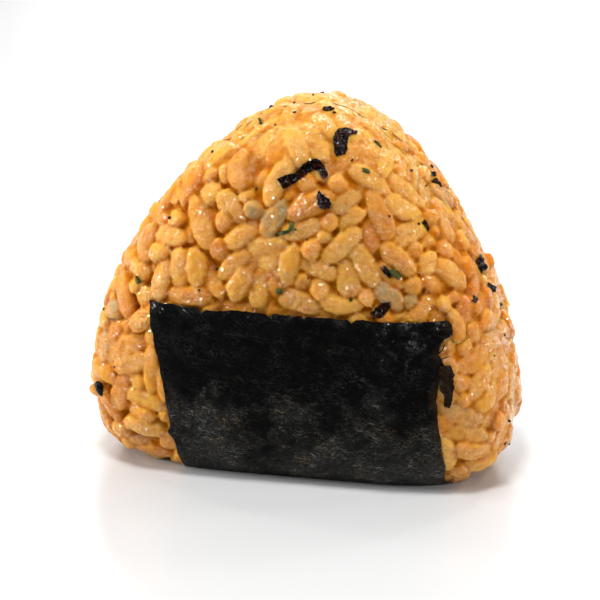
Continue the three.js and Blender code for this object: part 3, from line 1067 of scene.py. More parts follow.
def sheet_grid():
    along = np.linspace(-1, 1, NORI_ROWS + 1)[:, None]
    across = np.linspace(0, 1, NORI_COLUMNS + 1)[None]
    front = along > 0
    left = np.where(front, NORI_LEFT["front"], NORI_LEFT["back"])
    right = np.where(front, NORI_RIGHT["front"], NORI_RIGHT["back"])
    rough_x = left + (right - left) * across
    height = np.where(front, NORI_TOP["front"], NORI_TOP["back"]) + 0.17 * jag(rough_x, 0.6, 5)
    for notch in NOTCHES:
        height = height - NOTCH_DEPTH * np.exp(-(((rough_x - notch) / NOTCH_WIDTH) ** 2))
    angle = along * top_angle(rough_x, height)

    edge_angle = along * top_angle(left * 0, np.where(front, NORI_TOP["front"], NORI_TOP["back"]))
    edge_height = wrap_points(0 * edge_angle, edge_angle)[..., 2] + CENTRE_HEIGHT
    tear_heights, tear_places = np.array(RIGHT_TEARS[::-1]).T
    torn = np.interp(edge_height, tear_heights, tear_places) + 0.13 * jag(edge_angle * 20, 0.8, 8)
    whole = strip_edge(NORI_RIGHT, edge_angle) + 0.16 * jag(edge_angle * 20, 0.4, 6)
    right_x = np.where(edge_angle > 0.3, torn, whole)
    left_x = strip_edge(NORI_LEFT, edge_angle) + 0.15 * jag(edge_angle * 20, 0.5, 7)
    left_x = left_x - BITE_DEPTH * np.exp(-((edge_height - BITE_HEIGHT) ** 2)) * (edge_angle > 0.3)
    x = left_x + (right_x - left_x) * across
    return x, angle + 0 * x


sheet_x, sheet_angle = sheet_grid()
sheet_surface = wrap_points(sheet_x, sheet_angle)
print("the sheet's grid has", sheet_x.size, "points")

# %% [markdown]
# ## How the nori lies on the rice
#
# The sheet is lifted off the mould by waves about as wide as a grain, which are the
# grains that press through it, and by shorter ones in between. Folds run down it where
# it is slack, its upper edge curls off a little, and a crumple gathers at the upper
# right corner. Under the foot it is pressed flat.

# %% Waves and folds of the sheet
NORI_LIFT = 0.15
NORI_WAVES = 0.2
FOLD_HEIGHT = 0.14
CURL_HEIGHT = 0.15
LEAST_LIFT = 0.04


def sheet_lift(surface, x, angle):
    """How far the sheet's middle stands out of the mould."""
    fade = smoothstep(0.42, 0.75, np.abs(angle))
    waves = ripples(surface, 6.5, 26, 21) + 0.6 * ripples(surface, 3.4, 26, 22)
    wrinkles = np.abs(ripples(surface, 4.5, 14, 23)) * 0.5
    folds = ripples(surface * (0.35, 1.0, 1.0) + (0, 0, 0.2) * surface[..., :1], 3.0, 14, 28)
    height = surface[..., 2] + CENTRE_HEIGHT
    corner = smoothstep(18, 25, x) * smoothstep(25, 30, height) * (angle > 0)
    crumple = corner * (0.25 + 0.35 * np.abs(ripples(surface, 1.8, 18, 24)))
    slack = smoothstep(14, 5, height) * smoothstep(8, -14, x) * (angle > 0)
    top = np.where(angle > 0, NORI_TOP["front"], NORI_TOP["back"])
    uneven = 0.6 + 0.4 * ripples(surface, 7, 12, 25)
    curl = CURL_HEIGHT * smoothstep(1.2, 0.0, top - height) * uneven
    lift = NORI_LIFT + NORI_WAVES * fade * (waves - wrinkles) * 0.7 + crumple + curl * fade
    lift += FOLD_HEIGHT * (0.4 + slack) * fade * np.abs(folds)
    return np.maximum(lift, LEAST_LIFT)


lift = sheet_lift(sheet_surface, sheet_x, sheet_angle)
print("the sheet stands", lift.min().round(2), "to", lift.max().round(2), "mm off the mould")

# %% [markdown]
# ## Giving the sheet its thickness
#
# A real sheet has two faces and a rim, and so must this one, or it would be open. The
# grid is moved half a thickness out for one face and half a thickness in for the other,
# and a band of faces closes the rim. A solidify modifier does the same, but here both
# faces can be kept off the table.

# %% The sheet of nori
NORI_THICKNESS = 0.22


def closed_sheet(outer, inner):
    """Points and faces of a sheet given by the grids of its two faces."""
    rows, columns = outer.shape[:2]
    points = np.concatenate([outer.reshape(-1, 3), inner.reshape(-1, 3)])
    index = np.arange(rows * columns).reshape(rows, columns)
    below = rows * columns
    corners = [index[:-1, :-1], index[:-1, 1:], index[1:, 1:], index[1:, :-1]]
    upper = np.stack(corners, axis=-1).reshape(-1, 4)
    lower = upper[:, [0, 3, 2, 1]] + below
    rim = np.concatenate([index[0, :-1], index[:-1, -1], index[-1, :0:-1], index[:0:-1, 0]])
    after = np.roll(rim, -1)
    band = np.stack([after, rim, rim + below, after + below], axis=-1)
    return points, np.concatenate([upper, lower, band]).tolist()


sheet_out = outward(sheet_surface)
outer = sheet_surface + sheet_out * (lift + NORI_THICKNESS / 2)[..., None]
inner = sheet_surface + sheet_out * (lift - NORI_THICKNESS / 2)[..., None]
outer[..., 2] = np.maximum(outer[..., 2], -CENTRE_HEIGHT)
inner[..., 2] = np.maximum(inner[..., 2], NORI_THICKNESS - CENTRE_HEIGHT)
nori_points, nori_faces = closed_sheet(outer, inner)
nori_sheet = mesh_object("nori_sheet", nori_points, nori_faces)

# %% [markdown]
# ## Wet and thin places of the nori
#
# Where the rice wets the sheet, along its upper edge and in two corners, it shines in
# spots. Along its torn right edge it is so thin that brown shows through. Both are
# written on the mesh as tones, as on the rice, and the material reads them.

# %% Tones on the nori
WET_CORNER = (-24.2, 29.8)  # x and height of the upper left corner


def sheet_tones(surface, x, angle):
    """How wet the nori is, and how thin and brown at its torn edge."""
    height = surface[..., 2] + CENTRE_HEIGHT
    front = angle > 0
    from_top = np.where(front, NORI_TOP["front"], NORI_TOP["back"]) - height
    patchy = smoothstep(-0.6, 1.2, ripples(surface, 3.0, 20, 26))
    wet = smoothstep(1.5, 0.2, from_top) * patchy
    wet += front * smoothstep(12, 24, x) * smoothstep(20, 29, height) * patchy
    from_corner = np.hypot(x - WET_CORNER[0], height - WET_CORNER[1])
    wet += front * smoothstep(3.5, 1.0, from_corner) * patchy
    from_edge = x[:, -1:] - x
    frayed = smoothstep(-0.8, 1.0, ripples(surface, 4.0, 20, 27))
    thin = front * smoothstep(1.8, 0.1, from_edge) * frayed * smoothstep(33, 30, height)
    return np.stack([wet.clip(0, 1), thin, 0 * wet], axis=-1).reshape(-1, 3)


one_face = sheet_tones(sheet_surface, sheet_x, sheet_angle)
add_tones(nori_sheet, np.concatenate([one_face, one_face]))
print("wet", one_face[:, 0].mean().round(2), "and thin", one_face[:, 1].mean().round(2), "on average")

# %% [markdown]
# ## Nori: the material
#
# Dried nori looks black, but it is a felt of dark green and purple threads. Light comes
# off it as a faint grey sheen on the raised threads, and that sheen is painted into the
# threads' pale colour, together with their own tint. Real curves for thousands of threads
# would be heavy. A noise that is drawn out in one direction and cut off near its peaks
# gives short strands, and three layers of them, turned against each other, make the felt.

# %% Strands of the nori
STRAND_FADE = 0.12  # over how much of the noise a strand fades in
STRANDS = (  # length and width in metres, turn, and where the noise is cut
    (0.0013, 0.0002, 0.5, 0.57),
    (0.0010, 0.0002, -0.25, 0.57),
    (0.0006, 0.00025, 1.4, 0.6),
)
WISPS = (0.006, 0.0014, 0.25, 0.42)


def strands(tree, length, width, turn, cut):
    """Noise drawn out along one way in the front's plane: short strands at one angle."""
    drawn_out = {
        "Vector": object_place(tree),
        "Rotation": (0, turn, 0),
        "Scale": (length, min(length, width), width),
    }
    placing = add_node(tree, "ShaderNodeMapping", drawn_out, vector_type="TEXTURE")
    inputs = {"Vector": placing.outputs["Vector"], "Scale": 1, "Detail": 2.5, "Distortion": 0.6}
    texture = add_node(tree, "ShaderNodeTexNoise", inputs)
    return remap(tree, texture.outputs["Fac"], cut, cut + STRAND_FADE, 0, 1)


print("strands are", [round(1000 * length, 1) for length, *_ in STRANDS], "mm long")

# %% [markdown]
# ## The nori's colour and shine
#
# Higher up the sheet is nearly black, and towards the foot it is painted paler and shows
# more of its threads: painted light, standing for the light that the white table throws up
# onto its lower part. So its height decides how much of them is seen, with drifts of noise
# so that no band shows. Along its edges the rice has wetted it in spots, and there a coat
# gives it the same crinkled shine as the rice's film.

# %% The nori material
NORI_DARK = (0.0006, 0.0006, 0.0006, 1)
NORI_FELT = (0.030, 0.030, 0.029, 1)
NORI_THREAD_AND_SHEEN = (0.36, 0.36, 0.33, 1)
NORI_DRY_THREAD = (0.31, 0.235, 0.13, 1)
NORI_BROWN = (0.035, 0.017, 0.005, 1)
# Painted light: towards the foot the sheet is painted paler and shows more threads, standing for light
# from the white table.
PAINTED_GLOW_FROM, PAINTED_GLOW_TO = 0.023, 0.002  # heights in metres between which it gets paler
NORI_SURFACE = {
    "Roughness": 0.45,
    "Specular IOR Level": 0.04,
    "Coat IOR": 1.5,
    "Coat Roughness": 0.1,
}


def nori_colour(tree, felt, threads, thin):
    place = add_node(tree, "ShaderNodeSeparateXYZ", {"Vector": object_place(tree)})
    # Painted light from the table below, by height, with drifts of noise.
    painted_table_glow = remap(tree, place.outputs["Z"], PAINTED_GLOW_FROM, PAINTED_GLOW_TO, -0.42, 0.74)
    drifts = remap(tree, noise(tree, 110, 4, 0.65), 0.35, 0.65, -0.5, 0.5)
    painted_table_glow = calculate(tree, "ADD", painted_table_glow, drifts, clamp=True)
    grey = calculate(tree, "MULTIPLY", remap(tree, felt, 0.3, 0.7, 0, 1.6), painted_table_glow)
    colour = mix_colour(tree, grey, NORI_DARK, NORI_FELT)
    browned = remap(tree, noise(tree, 500, 2), 0.45, 0.6, 0, 1)
    # Painted sheen, in part: the threads' pale colours are their own tint and light glancing off them.
    thread = mix_colour(tree, browned, NORI_THREAD_AND_SHEEN, NORI_DRY_THREAD)
    shown = calculate(tree, "MULTIPLY", threads, remap(tree, painted_table_glow, 0, 1, 0.06, 1.1))
    colour = mix_colour(tree, shown, colour, thread)
    return mix_colour(tree, calculate(tree, "MULTIPLY", thin, felt), colour, NORI_BROWN)


def nori_material():
    material, tree, shader = new_material("dried_nori")
    wet, thin, _ = painted_tones(tree)
    felt = noise(tree, 1500, 4, 0.65)
    tufts = remap(tree, noise(tree, 350, 3, 0.6), 0.4, 0.6, 0.1, 1)
    wisps = remap(tree, strands(tree, *WISPS), 0, 1, 0.3, 1)
    threads = strands(tree, *STRANDS[0])
    for layer in STRANDS[1:]:
        threads = calculate(tree, "MAXIMUM", threads, strands(tree, *layer))
    threads = calculate(tree, "MULTIPLY", threads, calculate(tree, "MULTIPLY", tufts, wisps))
    creases = bump(tree, ridged(tree, 800), 0.0003)
    spots = remap(tree, noise(tree, 900, 2), 0.48, 0.6, 0.05, 1)
    fill_in(tree, shader, NORI_SURFACE)
    fill_in(tree, shader, {
        "Base Color": nori_colour(tree, felt, threads, thin),
        "Normal": bump(tree, calculate(tree, "ADD", felt, threads), 0.0002, 0.9),
        "Coat Normal": faceted(tree, creases, 1.1, FACETS),
        "Coat Weight": calculate(tree, "MULTIPLY", wet, spots),
    })
    return material


nori_finish = nori_material()
nori_sheet.data.materials.append(nori_finish)

# %% [markdown]
# ## A place on the rice
#
# Flakes, seeds and specks lie on the finished skin. To set one down, its place is first
# put on the mould, together with the two directions along the surface and the one out of
# it. Rays cast inwards from there tell how high the rice stands below.

# %% Places and heights on the skin
LOOK_FROM = 4  # rays start this high over the mould
LOOK_ALONG = 9
NEARLY_UPRIGHT = 0.95

skin_points = np.concatenate([points for _, points, _ in rice_skins])
skin_quads, start = [], 0
for _, points, quads in rice_skins:
    skin_quads += (quads + start).tolist()
    start += len(points)
skin_tree = BVHTree.FromPolygons(skin_points.tolist(), skin_quads)
print("the skin's tree holds", len(skin_quads), "faces")


def place_on_rice(at, turn=0.0):
    """A place on the mould, the two directions along it, and the one out of it."""
    place = on_mould(np.array(at, float) - (0, 0, CENTRE_HEIGHT))
    out = outward(place)
    upright = np.array([0, 1, 0]) if abs(out[2]) > NEARLY_UPRIGHT else np.array([0, 0, 1])
    right = np.cross(upright, out)
    right /= np.linalg.norm(right)
    up = np.cross(out, right)
    turn = math.radians(turn)
    along, across = math.cos(turn), math.sin(turn)
    return place, right * along + up * across, up * along - right * across, out


def rice_heights(points, out):
    heights = []
    for point in points:
        start = Vector(point + LOOK_FROM * out)
        distance = skin_tree.ray_cast(start, Vector(-out), LOOK_ALONG)[3]
        heights.append(np.nan if distance is None else LOOK_FROM - distance)
    heights = np.array(heights)
    return np.where(np.isnan(heights), np.nanmin(heights), heights)


# %% [markdown]
# ## Lines through knots
#
# A bent strip of seaweed and the line along the crest are both given by a few knots. To
# get evenly spaced points between them, one walks along the knots and notes how far each
# is from the start, then asks for every value at equal steps of that length. Blender's
# curves do it as well, but numbers can be draped over the grains at once.

# %% Lines through knots
def along_knots(knots, at_run, run):
    return np.stack([np.interp(at_run, run, column) for column in knots.T], axis=-1)


def length_along(knots):
    steps = np.linalg.norm(np.diff(knots, axis=0), axis=1)
    return np.concatenate([[0], np.cumsum(steps)])


print("a path of 3, then 4 mm:", length_along(np.array([(0, 0), (3, 0), (3, 4)])))

# %% [markdown]
# ## Ribbons of seaweed
#
# A torn bit of seaweed is a ribbon: a short path with a width at every knot, given along
# the surface and up it. Its points drop onto the rice below, the heights are smoothed so
# that the ribbon bridges the creases, and then it is crumpled. A thread is the same with
# a very small width. Modelling each bit by hand would take longer and fit less well.

# %% Ribbons that lie on the rice
RIBBON_STEP = 0.14
RIBBON_THICKNESS = 0.26
RAGGED = 0.1
RAGGED_ENDS = 1.5
BITES_IN = 0.05  # how far a ribbon may sink into a grain
RIBBON_ROOT = 0.15  # how far its lower face goes into the rice


def evened(grid, rounds):
    for _ in range(rounds):
        padded = np.pad(grid, 1, mode="edge")
        around = padded[1:-1, :-2] + padded[1:-1, 2:] + padded[:-2, 1:-1] + padded[2:, 1:-1]
        grid = (grid + around / 4) / 2
    return grid


def ribbon(at, path, seed, thickness=RIBBON_THICKNESS, lift=0.0, crumple=0.2, step=RIBBON_STEP):
    """A closed ribbon from knots (along, up, half width) around a place on the rice."""
    source = np.random.default_rng(seed)
    place, right, up, out = place_on_rice(at)
    knots = np.array(path, float)
    run = length_along(knots[:, :2])
    rows = max(int(run[-1] / step), 3)
    line = along_knots(knots, np.linspace(0, run[-1], rows + 1), run)
    line[1:-1, :2] = (line[:-2, :2] + line[1:-1, :2] + line[2:, :2]) / 3
    way = np.gradient(line[:, :2], axis=0)
    way /= np.linalg.norm(way, axis=1, keepdims=True)
    sideways = np.stack([-way[:, 1], way[:, 0]], axis=-1)
    columns = max(int(2 * knots[:, 2].max() / step), 2)
    share = np.linspace(-1, 1, columns + 1)[None, :, None]
    uneven = np.convolve(source.uniform(-1, 1, rows + 3), (0.5, 0.8, 0.5), "valid")[:, None]
    width = line[:, 2:3] * (1 + RAGGED * uneven)
    flat = line[:, None, :2] + sideways[:, None] * width[:, None] * share
    ends = np.zeros((rows + 1, 1))
    ends[[0, -1]] = 1
    torn = ends * source.uniform(-1, 1, (1, columns + 1)) * RAGGED
    flat += way[:, None] * torn[..., None] * RAGGED_ENDS
    surface = place + flat[..., :1] * right + flat[..., 1:] * up
    raw = rice_heights(surface.reshape(-1, 3), out).reshape(surface.shape[:2])
    height = evened(np.maximum(evened(raw, 6), raw - BITES_IN), 1) + lift
    height = np.maximum(height + crumple * ripples(surface, 1.1, 14, seed), raw - BITES_IN)
    outer = surface + out * (height + thickness)[..., None]
    inner = surface + out * (height - RIBBON_ROOT + lift * 0.3)[..., None]
    return closed_sheet(outer, inner)


print("ribbons are", RIBBON_THICKNESS, "mm thick, on a grid of", RIBBON_STEP, "mm")

# %% [markdown]
# ## Many small things in one piece
#
# There are dozens of flakes and specks. As objects of their own they would be hard to
# handle, and those of one kind share a finish, so each kind is joined in one mesh. The
# faces of each part only have to count their points from where the last part ended.

# %% Joining parts
def joined(name, parts, material):
    points, faces, start = [], [], 0
    for part_points, part_faces in parts:
        points.append(part_points)
        faces += [[start + corner for corner in face] for face in part_faces]
        start += len(part_points)
    return mesh_object(name, np.concatenate(points), faces, material)


print("pieces so far:", len(rice_parts) + 1)

# %% [markdown]
# ## The flakes' finish
#
# Seaweed that has soaked up sauce is almost black, with a dark red where light gets
# through, and it is glossy and full of small creases. The same facets as on the rice's
# film give it its sparks, but here the whole surface is wet, so they tilt the surface's
# own normal and no coat is needed.

# %% The finish of wet seaweed
FLAKE_DARK = (0.0008, 0.0003, 0.0004, 1)
FLAKE_RED = (0.03, 0.005, 0.001, 1)
FLAKE_FACETS = 1700


def flake_material():
    material, tree, shader = new_material("wet_seaweed")
    reds = remap(tree, noise(tree, 900, 3), 0.45, 0.7, 0, 1)
    creases = bump(tree, ridged(tree, 700), 0.0004)
    fill_in(tree, shader, {
        "Base Color": mix_colour(tree, reds, FLAKE_DARK, FLAKE_RED),
        "Normal": faceted(tree, creases, 0.9, FLAKE_FACETS),
        "Roughness": 0.07,
        "Specular IOR Level": 0.14,
    })
    return material


wet_seaweed = flake_material()

# %% [markdown]
# ## The flakes and threads
#
# Each flake has its place, in millimetres from the middle of the foot, and its knots:
# how far along, how far up, and half the width there. The three threads are fibres of
# the nori that stand off its torn edge.

# %% Flakes of seaweed
FLAKES = (
    ((8.2, -10.2, 59.6), (
        (-1.2, -2.1, 0.7), (-0.8, -0.8, 1.0), (-0.4, 0.5, 1.1),
        (0.4, 1.6, 1.1), (1.8, 2.0, 0.9), (2.9, 1.3, 0.5),
    )),
    ((2.5, -15.2, 55.3), (
        (-3.7, -2.0, 0.9), (-2.6, -1.3, 0.8), (-1.3, -0.7, 0.7), (-0.2, 0.2, 0.7),
        (0.9, 1.4, 0.75), (1.8, 1.7, 0.8), (2.7, 1.0, 0.7), (3.6, -0.4, 0.5),
    )),
    ((6.2, -16.3, 50.9), (
        (-0.9, 1.8, 0.15), (-0.7, 1.1, 0.5), (-0.2, 0.2, 0.9), (0.2, -0.5, 1.0), (0.3, -1.1, 0.7),
    )),
    ((4.2, -3.8, 62.6), ((-0.9, 0.2, 0.3), (0.0, 0.1, 0.6), (0.8, -0.1, 0.3))),
    ((20.5, 1.9, 51.0), ((-0.5, 0.6, 0.25), (0.5, -0.6, 0.3))),
    ((21.6, 1.7, 49.6), ((-0.3, 0.9, 0.3), (0.3, -0.9, 0.3))),
    ((22.3, -10.2, 46.3), ((-0.3, 0.8, 0.5), (0.3, -0.8, 0.3))),
    ((16.7, -16.4, 39.7), ((-0.7, 0.9, 0.4), (-0.1, 0.1, 0.5), (0.6, -0.8, 0.3))),
    ((16.0, -17.2, 33.3), ((-1.6, -1.0, 0.5), (-0.5, -0.3, 0.9), (0.5, 0.6, 0.8), (1.3, 1.1, 0.4))),
    ((29.8, 0.0, 36.5), ((-1.6, -0.5, 0.6), (0.0, 0.0, 1.0), (1.4, 0.9, 0.6))),
    ((31.2, -0.6, 32.7), ((-0.9, 0.6, 0.6), (0.0, 0.0, 0.8), (0.6, -0.7, 0.5))),
    ((30.1, -8.4, 33.4), ((-0.8, -0.3, 0.3), (0.6, 0.3, 0.3))),
    ((-8.5, 14.0, 50.0), ((-1.5, -0.8, 0.6), (0.0, 0.2, 1.0), (1.6, 0.6, 0.7))),
    ((13.5, 15.5, 43.0), ((-1.2, 0.8, 0.5), (0.2, 0.0, 0.9), (1.2, -1.0, 0.5))),
    ((-21.0, 12.0, 40.0), ((-0.9, -0.6, 0.5), (0.9, 0.7, 0.7))),
    ((30.0, 10.0, 22.0), ((-1.0, 0.7, 0.7), (1.1, -0.5, 0.5))),
    ((-33.0, 3.0, 26.0), ((-0.2, 1.0, 0.5), (0.3, -1.0, 0.7))),
)
THREADS = (
    ((25.6, -15.9, 26.0), ((-0.3, -0.4, 0.08), (0.6, 0.4, 0.08), (1.1, 1.3, 0.06))),
    ((25.4, -15.9, 25.2), ((-0.4, -0.6, 0.08), (0.9, 0.0, 0.08), (1.9, 0.2, 0.05))),
    ((25.5, -16.0, 24.6), ((-0.3, 0.3, 0.08), (0.7, -0.2, 0.08), (1.2, -0.9, 0.06))),
)


flakes = [ribbon(at, path, 100 + index) for index, (at, path) in enumerate(FLAKES)]
threads = [
    ribbon(at, path, 200 + index, thickness=0.14, lift=0.35, crumple=0.03, step=0.15)
    for index, (at, path) in enumerate(THREADS)
]
seaweed_flakes = joined("seaweed_flakes", flakes + threads, wet_seaweed)

# %% [markdown]
# ## The torn flap
#
# At its right edge the nori has torn, and a flap hangs off it. It could be cut out of
# the sheet's own grid, but that would leave ragged squares. So it is a ribbon as thick
# as the sheet, with the sheet's finish, and lifted a little from the rice.

# %% The flap
FLAP_AT = (26.8, -15.5, 20.7)
FLAP = (
    (-0.5, 3.3, 0.9), (-0.3, 1.7, 1.3), (-0.3, 0.2, 1.2),
    (0.1, -1.4, 0.9), (0.1, -2.8, 0.7), (-0.1, -4.0, 0.5),
)
FLAP_TONES = (0.2, 0.8, 0.0)  # a little wet, and thin
flap = ribbon(FLAP_AT, FLAP, 300, thickness=NORI_THICKNESS, lift=0.35, crumple=0.1)
nori_flap = joined("nori_flap", [flap], nori_finish)
add_tones(nori_flap, np.tile(FLAP_TONES, (len(nori_flap.data.vertices), 1)))

# %% [markdown]
# ## Drops
#
# A sesame seed is a small flattened drop, blunt at one end. The same form, made tiny and
# sunk into the creases, also gives the dark specks of seaweed and spice, and the green
# ones of herbs. It is made on the same kind of grid as a grain, and set on the rice.

# %% A drop that rests on the rice
DROP_TAPER = 0.3
DROP_UNEVEN = 0.03


def drop(at, size, turn, seed, sink=0.3, rings=8, sides=12):
    """A closed drop of (length, width, height)."""
    place, right, up, out = place_on_rice(at, turn)
    along, around, quads, caps = pole_grid(rings, sides)
    radius = np.sqrt(1 - along**2) * (1 - DROP_TAPER * along)
    radius[:-2] *= 1 + np.random.default_rng(seed).normal(0, DROP_UNEVEN, rings * sides)
    length, width, height = np.array(size) / 2
    x = along * length
    y = radius * np.cos(around) * width
    z = radius * np.sin(around) * height
    z += rice_heights(place[None], out)[0] + height * (1 - 2 * sink)
    points = place + x[:, None] * right + y[:, None] * up + z[:, None] * out
    return points, quads.tolist() + caps.tolist()


print("a drop's radius varies by", DROP_UNEVEN, "of itself")

# %% [markdown]
# ## A plain gloss
#
# Seeds, spice and herbs are too small for a finish with folds and film. Two near colours
# that a noise wanders between keep them from looking like plastic, and one roughness
# gives the gloss. A picture of real seeds could be wrapped round them, but no one would
# see it at this size.

# %% A finish for small things
def gloss_material(name, first, second, roughness):
    """A plain glossy finish that wanders between two colours."""
    material, tree, shader = new_material(name)
    wander = remap(tree, noise(tree, 900, 2), 0.4, 0.6, 0, 1)
    fill_in(tree, shader, {
        "Base Color": mix_colour(tree, wander, first, second),
        "Roughness": roughness,
        "Specular IOR Level": 0.15,
    })
    return material


# %% [markdown]
# ## Sesame seeds
#
# Three black sesame seeds stick to the rice, one on the front's left edge and two at the
# back. Each has its place, its size and the way it is turned. They are nearly black with
# a soft gloss, so a plain finish with two dark browns is enough.

# %% Sesame seeds
seeds = [
    drop((-33.3, -12.2, 13.6), (2.7, 1.75, 1.3), -70, 1),
    drop((-25.5, 13.5, 33.5), (2.8, 1.8, 1.3), 25, 2),
    drop((24.0, 14.0, 37.0), (2.7, 1.7, 1.3), 130, 3),
]
SEED_BLACK = (0.0015, 0.001, 0.001, 1)
SEED_BROWN = (0.005, 0.004, 0.003, 1)
black_sesame = gloss_material("black_sesame", SEED_BLACK, SEED_BROWN, 0.14)
sesame_seeds = joined("sesame_seeds", seeds, black_sesame)

# %% [markdown]
# ## Specks of spice
#
# Spice and crumbs of seaweed got everywhere when the rice was mixed, so the dark specks
# are scattered by chance, away from the nori. Particles would do that as well, but they
# are lost when the model is exported, so each speck is a small mesh at its true size.

# %% Specks of spice
SPECK = {"sink": 0.35, "rings": 5, "sides": 7}  # specks are too small for a finer grid
SPECK_COUNT = 45
CLEAR_OF_NORI = 1.5
CLEAR_OF_FOOT = 4


def scattered_places(count, source):
    """Random places on the rice, away from the nori."""
    found = []
    while len(found) < count:
        way = source.normal(size=3) * (1, 0.6, 1)
        place = on_mould(way)
        if under_strip(place) < -CLEAR_OF_NORI and place[2] > CLEAR_OF_FOOT - CENTRE_HEIGHT:
            found.append(place + (0, 0, CENTRE_HEIGHT))
    return found


def scattered_drops(count, smallest, largest, first_seed):
    drops = []
    for index, place in enumerate(scattered_places(count, speck_source)):
        size = speck_source.uniform(smallest, largest, 3)
        turn = speck_source.uniform(0, 180)
        drops.append(drop(place, size, turn, first_seed + index, **SPECK))
    return drops


speck_source = np.random.default_rng(77)
spice = gloss_material("spice", (0.01, 0.004, 0.002, 1), (0.05, 0.018, 0.005, 1), 0.4)
spice_specks = joined("spice_specks", scattered_drops(SPECK_COUNT, 0.25, 0.75, 0), spice)

# %% [markdown]
# ## Green flecks
#
# These are herbs. The larger ones are bits of leaf, so they are small ribbons with a
# place of their own. The rest are crumbs, scattered as the spice is.

# %% Green flecks
GREEN_RIBBONS = (
    ((0.5, -17.4, 46.2), (
        (-2.3, -1.3, 0.12), (-1.3, -0.8, 0.25), (-0.3, -0.5, 0.3),
        (0.5, 0.0, 0.25), (0.4, 0.8, 0.3), (0.7, 1.1, 0.15),
    )),
    ((0.9, -17.4, 46.6), ((-0.3, 0.0, 0.2), (0.9, -0.4, 0.15))),
    ((13.0, -6.0, 58.2), ((0.0, 0.7, 0.2), (0.0, -0.8, 0.15))),
    ((12.3, -12.2, 55.4), ((-0.5, 0.3, 0.35), (0.5, -0.2, 0.4))),
    ((17.9, -16.0, 39.6), ((-0.7, 0.4, 0.4), (0.8, -0.9, 0.5))),
    ((-25.9, -14.1, 34.4), ((-0.5, 0.4, 0.3), (0.4, -0.5, 0.25))),
    ((-7.9, -2.8, 60.3), ((-0.5, 0.0, 0.2), (0.5, 0.1, 0.2))),
)
HERB_COUNT = 16
green_parts = [ribbon(at, path, 401 + index) for index, (at, path) in enumerate(GREEN_RIBBONS)]
green_parts.append(drop((-0.9, -18.0, 35.6), (1.2, 1.1, 0.9), 0, 408))
green_parts += scattered_drops(HERB_COUNT, 0.3, 0.8, 420)
herb_green = gloss_material("herb_green", (0.02, 0.03, 0.006, 1), (0.07, 0.075, 0.012, 1), 0.35)
green_flecks = joined("green_flecks", green_parts, herb_green)

# %% [markdown]
# ## The parting line
#
# The rice was pressed in a film, and the film left a fine ridge round the rim where its
# two halves met. A bevelled curve makes such a thread, but would cut straight through
# the grains. Here the line through a few knots on the crest is first carried over their
# heights, and then gets a ring of points all round.

# %% The parting line
CREST = (
    (-15.2, -0.5, 55.0), (-11.6, -0.3, 58.1), (-7.5, 0.0, 60.5), (-3.0, -0.2, 62.2),
    (1.0, -0.6, 62.9), (4.5, -0.6, 62.6), (8.0, 0.0, 61.6), (10.7, 0.2, 60.2), (13.5, 1.8, 58.0),
    (16.5, 2.0, 55.2), (20.6, 1.6, 50.9), (24.0, 3.6, 46.1), (26.9, 3.2, 41.5),
)
CREST_WANDER = 0.35
CREST_RADIUS = 0.1
CREST_EVENED = 7  # heights along the crest are averaged over this many points


def crest_thread(knots, radius, step=0.3, sides=5):
    knots = np.array(knots) - (0, 0, CENTRE_HEIGHT)
    run = length_along(knots)
    line = along_knots(knots, np.arange(0, run[-1], step), run)
    line[:, 1] += CREST_WANDER * ripples(line, 5.0, 12, 31)
    line = on_mould(line)
    out = outward(line)
    heights = np.concatenate([rice_heights(point[None], way) for point, way in zip(line, out)])
    padded = np.pad(heights, CREST_EVENED // 2, mode="edge")
    raised = np.convolve(padded, np.ones(CREST_EVENED) / CREST_EVENED, mode="valid")
    line = line + out * np.maximum(raised, heights - radius)[:, None]
    way = np.gradient(line, axis=0)
    way /= np.linalg.norm(way, axis=1, keepdims=True)
    side = np.cross(way, out)
    rings = []
    for turn in 2 * np.pi * np.arange(sides) / sides:
        rings.append(line + radius * (np.cos(turn) * side + np.sin(turn) * out))
    points = np.stack(rings, axis=1)
    index = np.arange(points.shape[0] * sides).reshape(-1, sides)
    after = np.roll(index, -1, axis=1)
    quads = np.stack([index[:-1], after[:-1], after[1:], index[1:]], axis=-1).reshape(-1, 4)
    return points.reshape(-1, 3), quads.tolist() + [index[0, ::-1].tolist(), index[-1].tolist()]


dry_film = gloss_material("dry_film", (0.22, 0.09, 0.035, 1), (0.5, 0.25, 0.1, 1), 0.3)
rice_crease = joined("rice_crease", [crest_thread(CREST, CREST_RADIUS)], dry_film)

# %% [markdown]
# ## Fixing the pieces to the body
#
# Nothing on a rice ball moves by itself, so every piece rides on the one body. The skin,
# the flakes, the seeds and the specks stand for the rice solid, and the sheet and its
# flap for the nori, and those solids are hidden.

# %% Ride and replace
fixed = [(piece, "rice", "rice") for piece in rice_parts]
fixed += [
    (rice_crease, "rice", "rice"),
    (seaweed_flakes, "rice", "seaweed_flakes"),
    (spice_specks, "rice", "seaweed_flakes"),
    (sesame_seeds, "rice", "sesame"),
    (green_flecks, "rice", "greens"),
    (nori_sheet, "nori", "nori"),
    (nori_flap, "nori", "nori"),
]
for piece, node, slot in fixed:
    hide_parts(node)
    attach(piece, "root")
print(len(fixed), "pieces ride on the body")

# %% [markdown]
# ## The table
#
# The rice ball stands on a white table with a soft gloss, which shows a faint mirror
# image under it. One large square is enough. It is there for the picture and is no part
# of the rice ball.

# %% The table
TABLE_GREY = 0.63
TABLE_HALF = 700.0  # half of its width, in millimetres


def table():
    half, foot = TABLE_HALF, -CENTRE_HEIGHT
    corners = [(-half, -half, foot), (half, -half, foot), (half, half, foot), (-half, half, foot)]
    material, tree, shader = new_material("white_table")
    fill_in(tree, shader, {"Base Color": (TABLE_GREY, TABLE_GREY, TABLE_GREY, 1), "Roughness": 0.3})
    made = mesh_object("table", corners, [(0, 1, 2, 3)], material)


table()

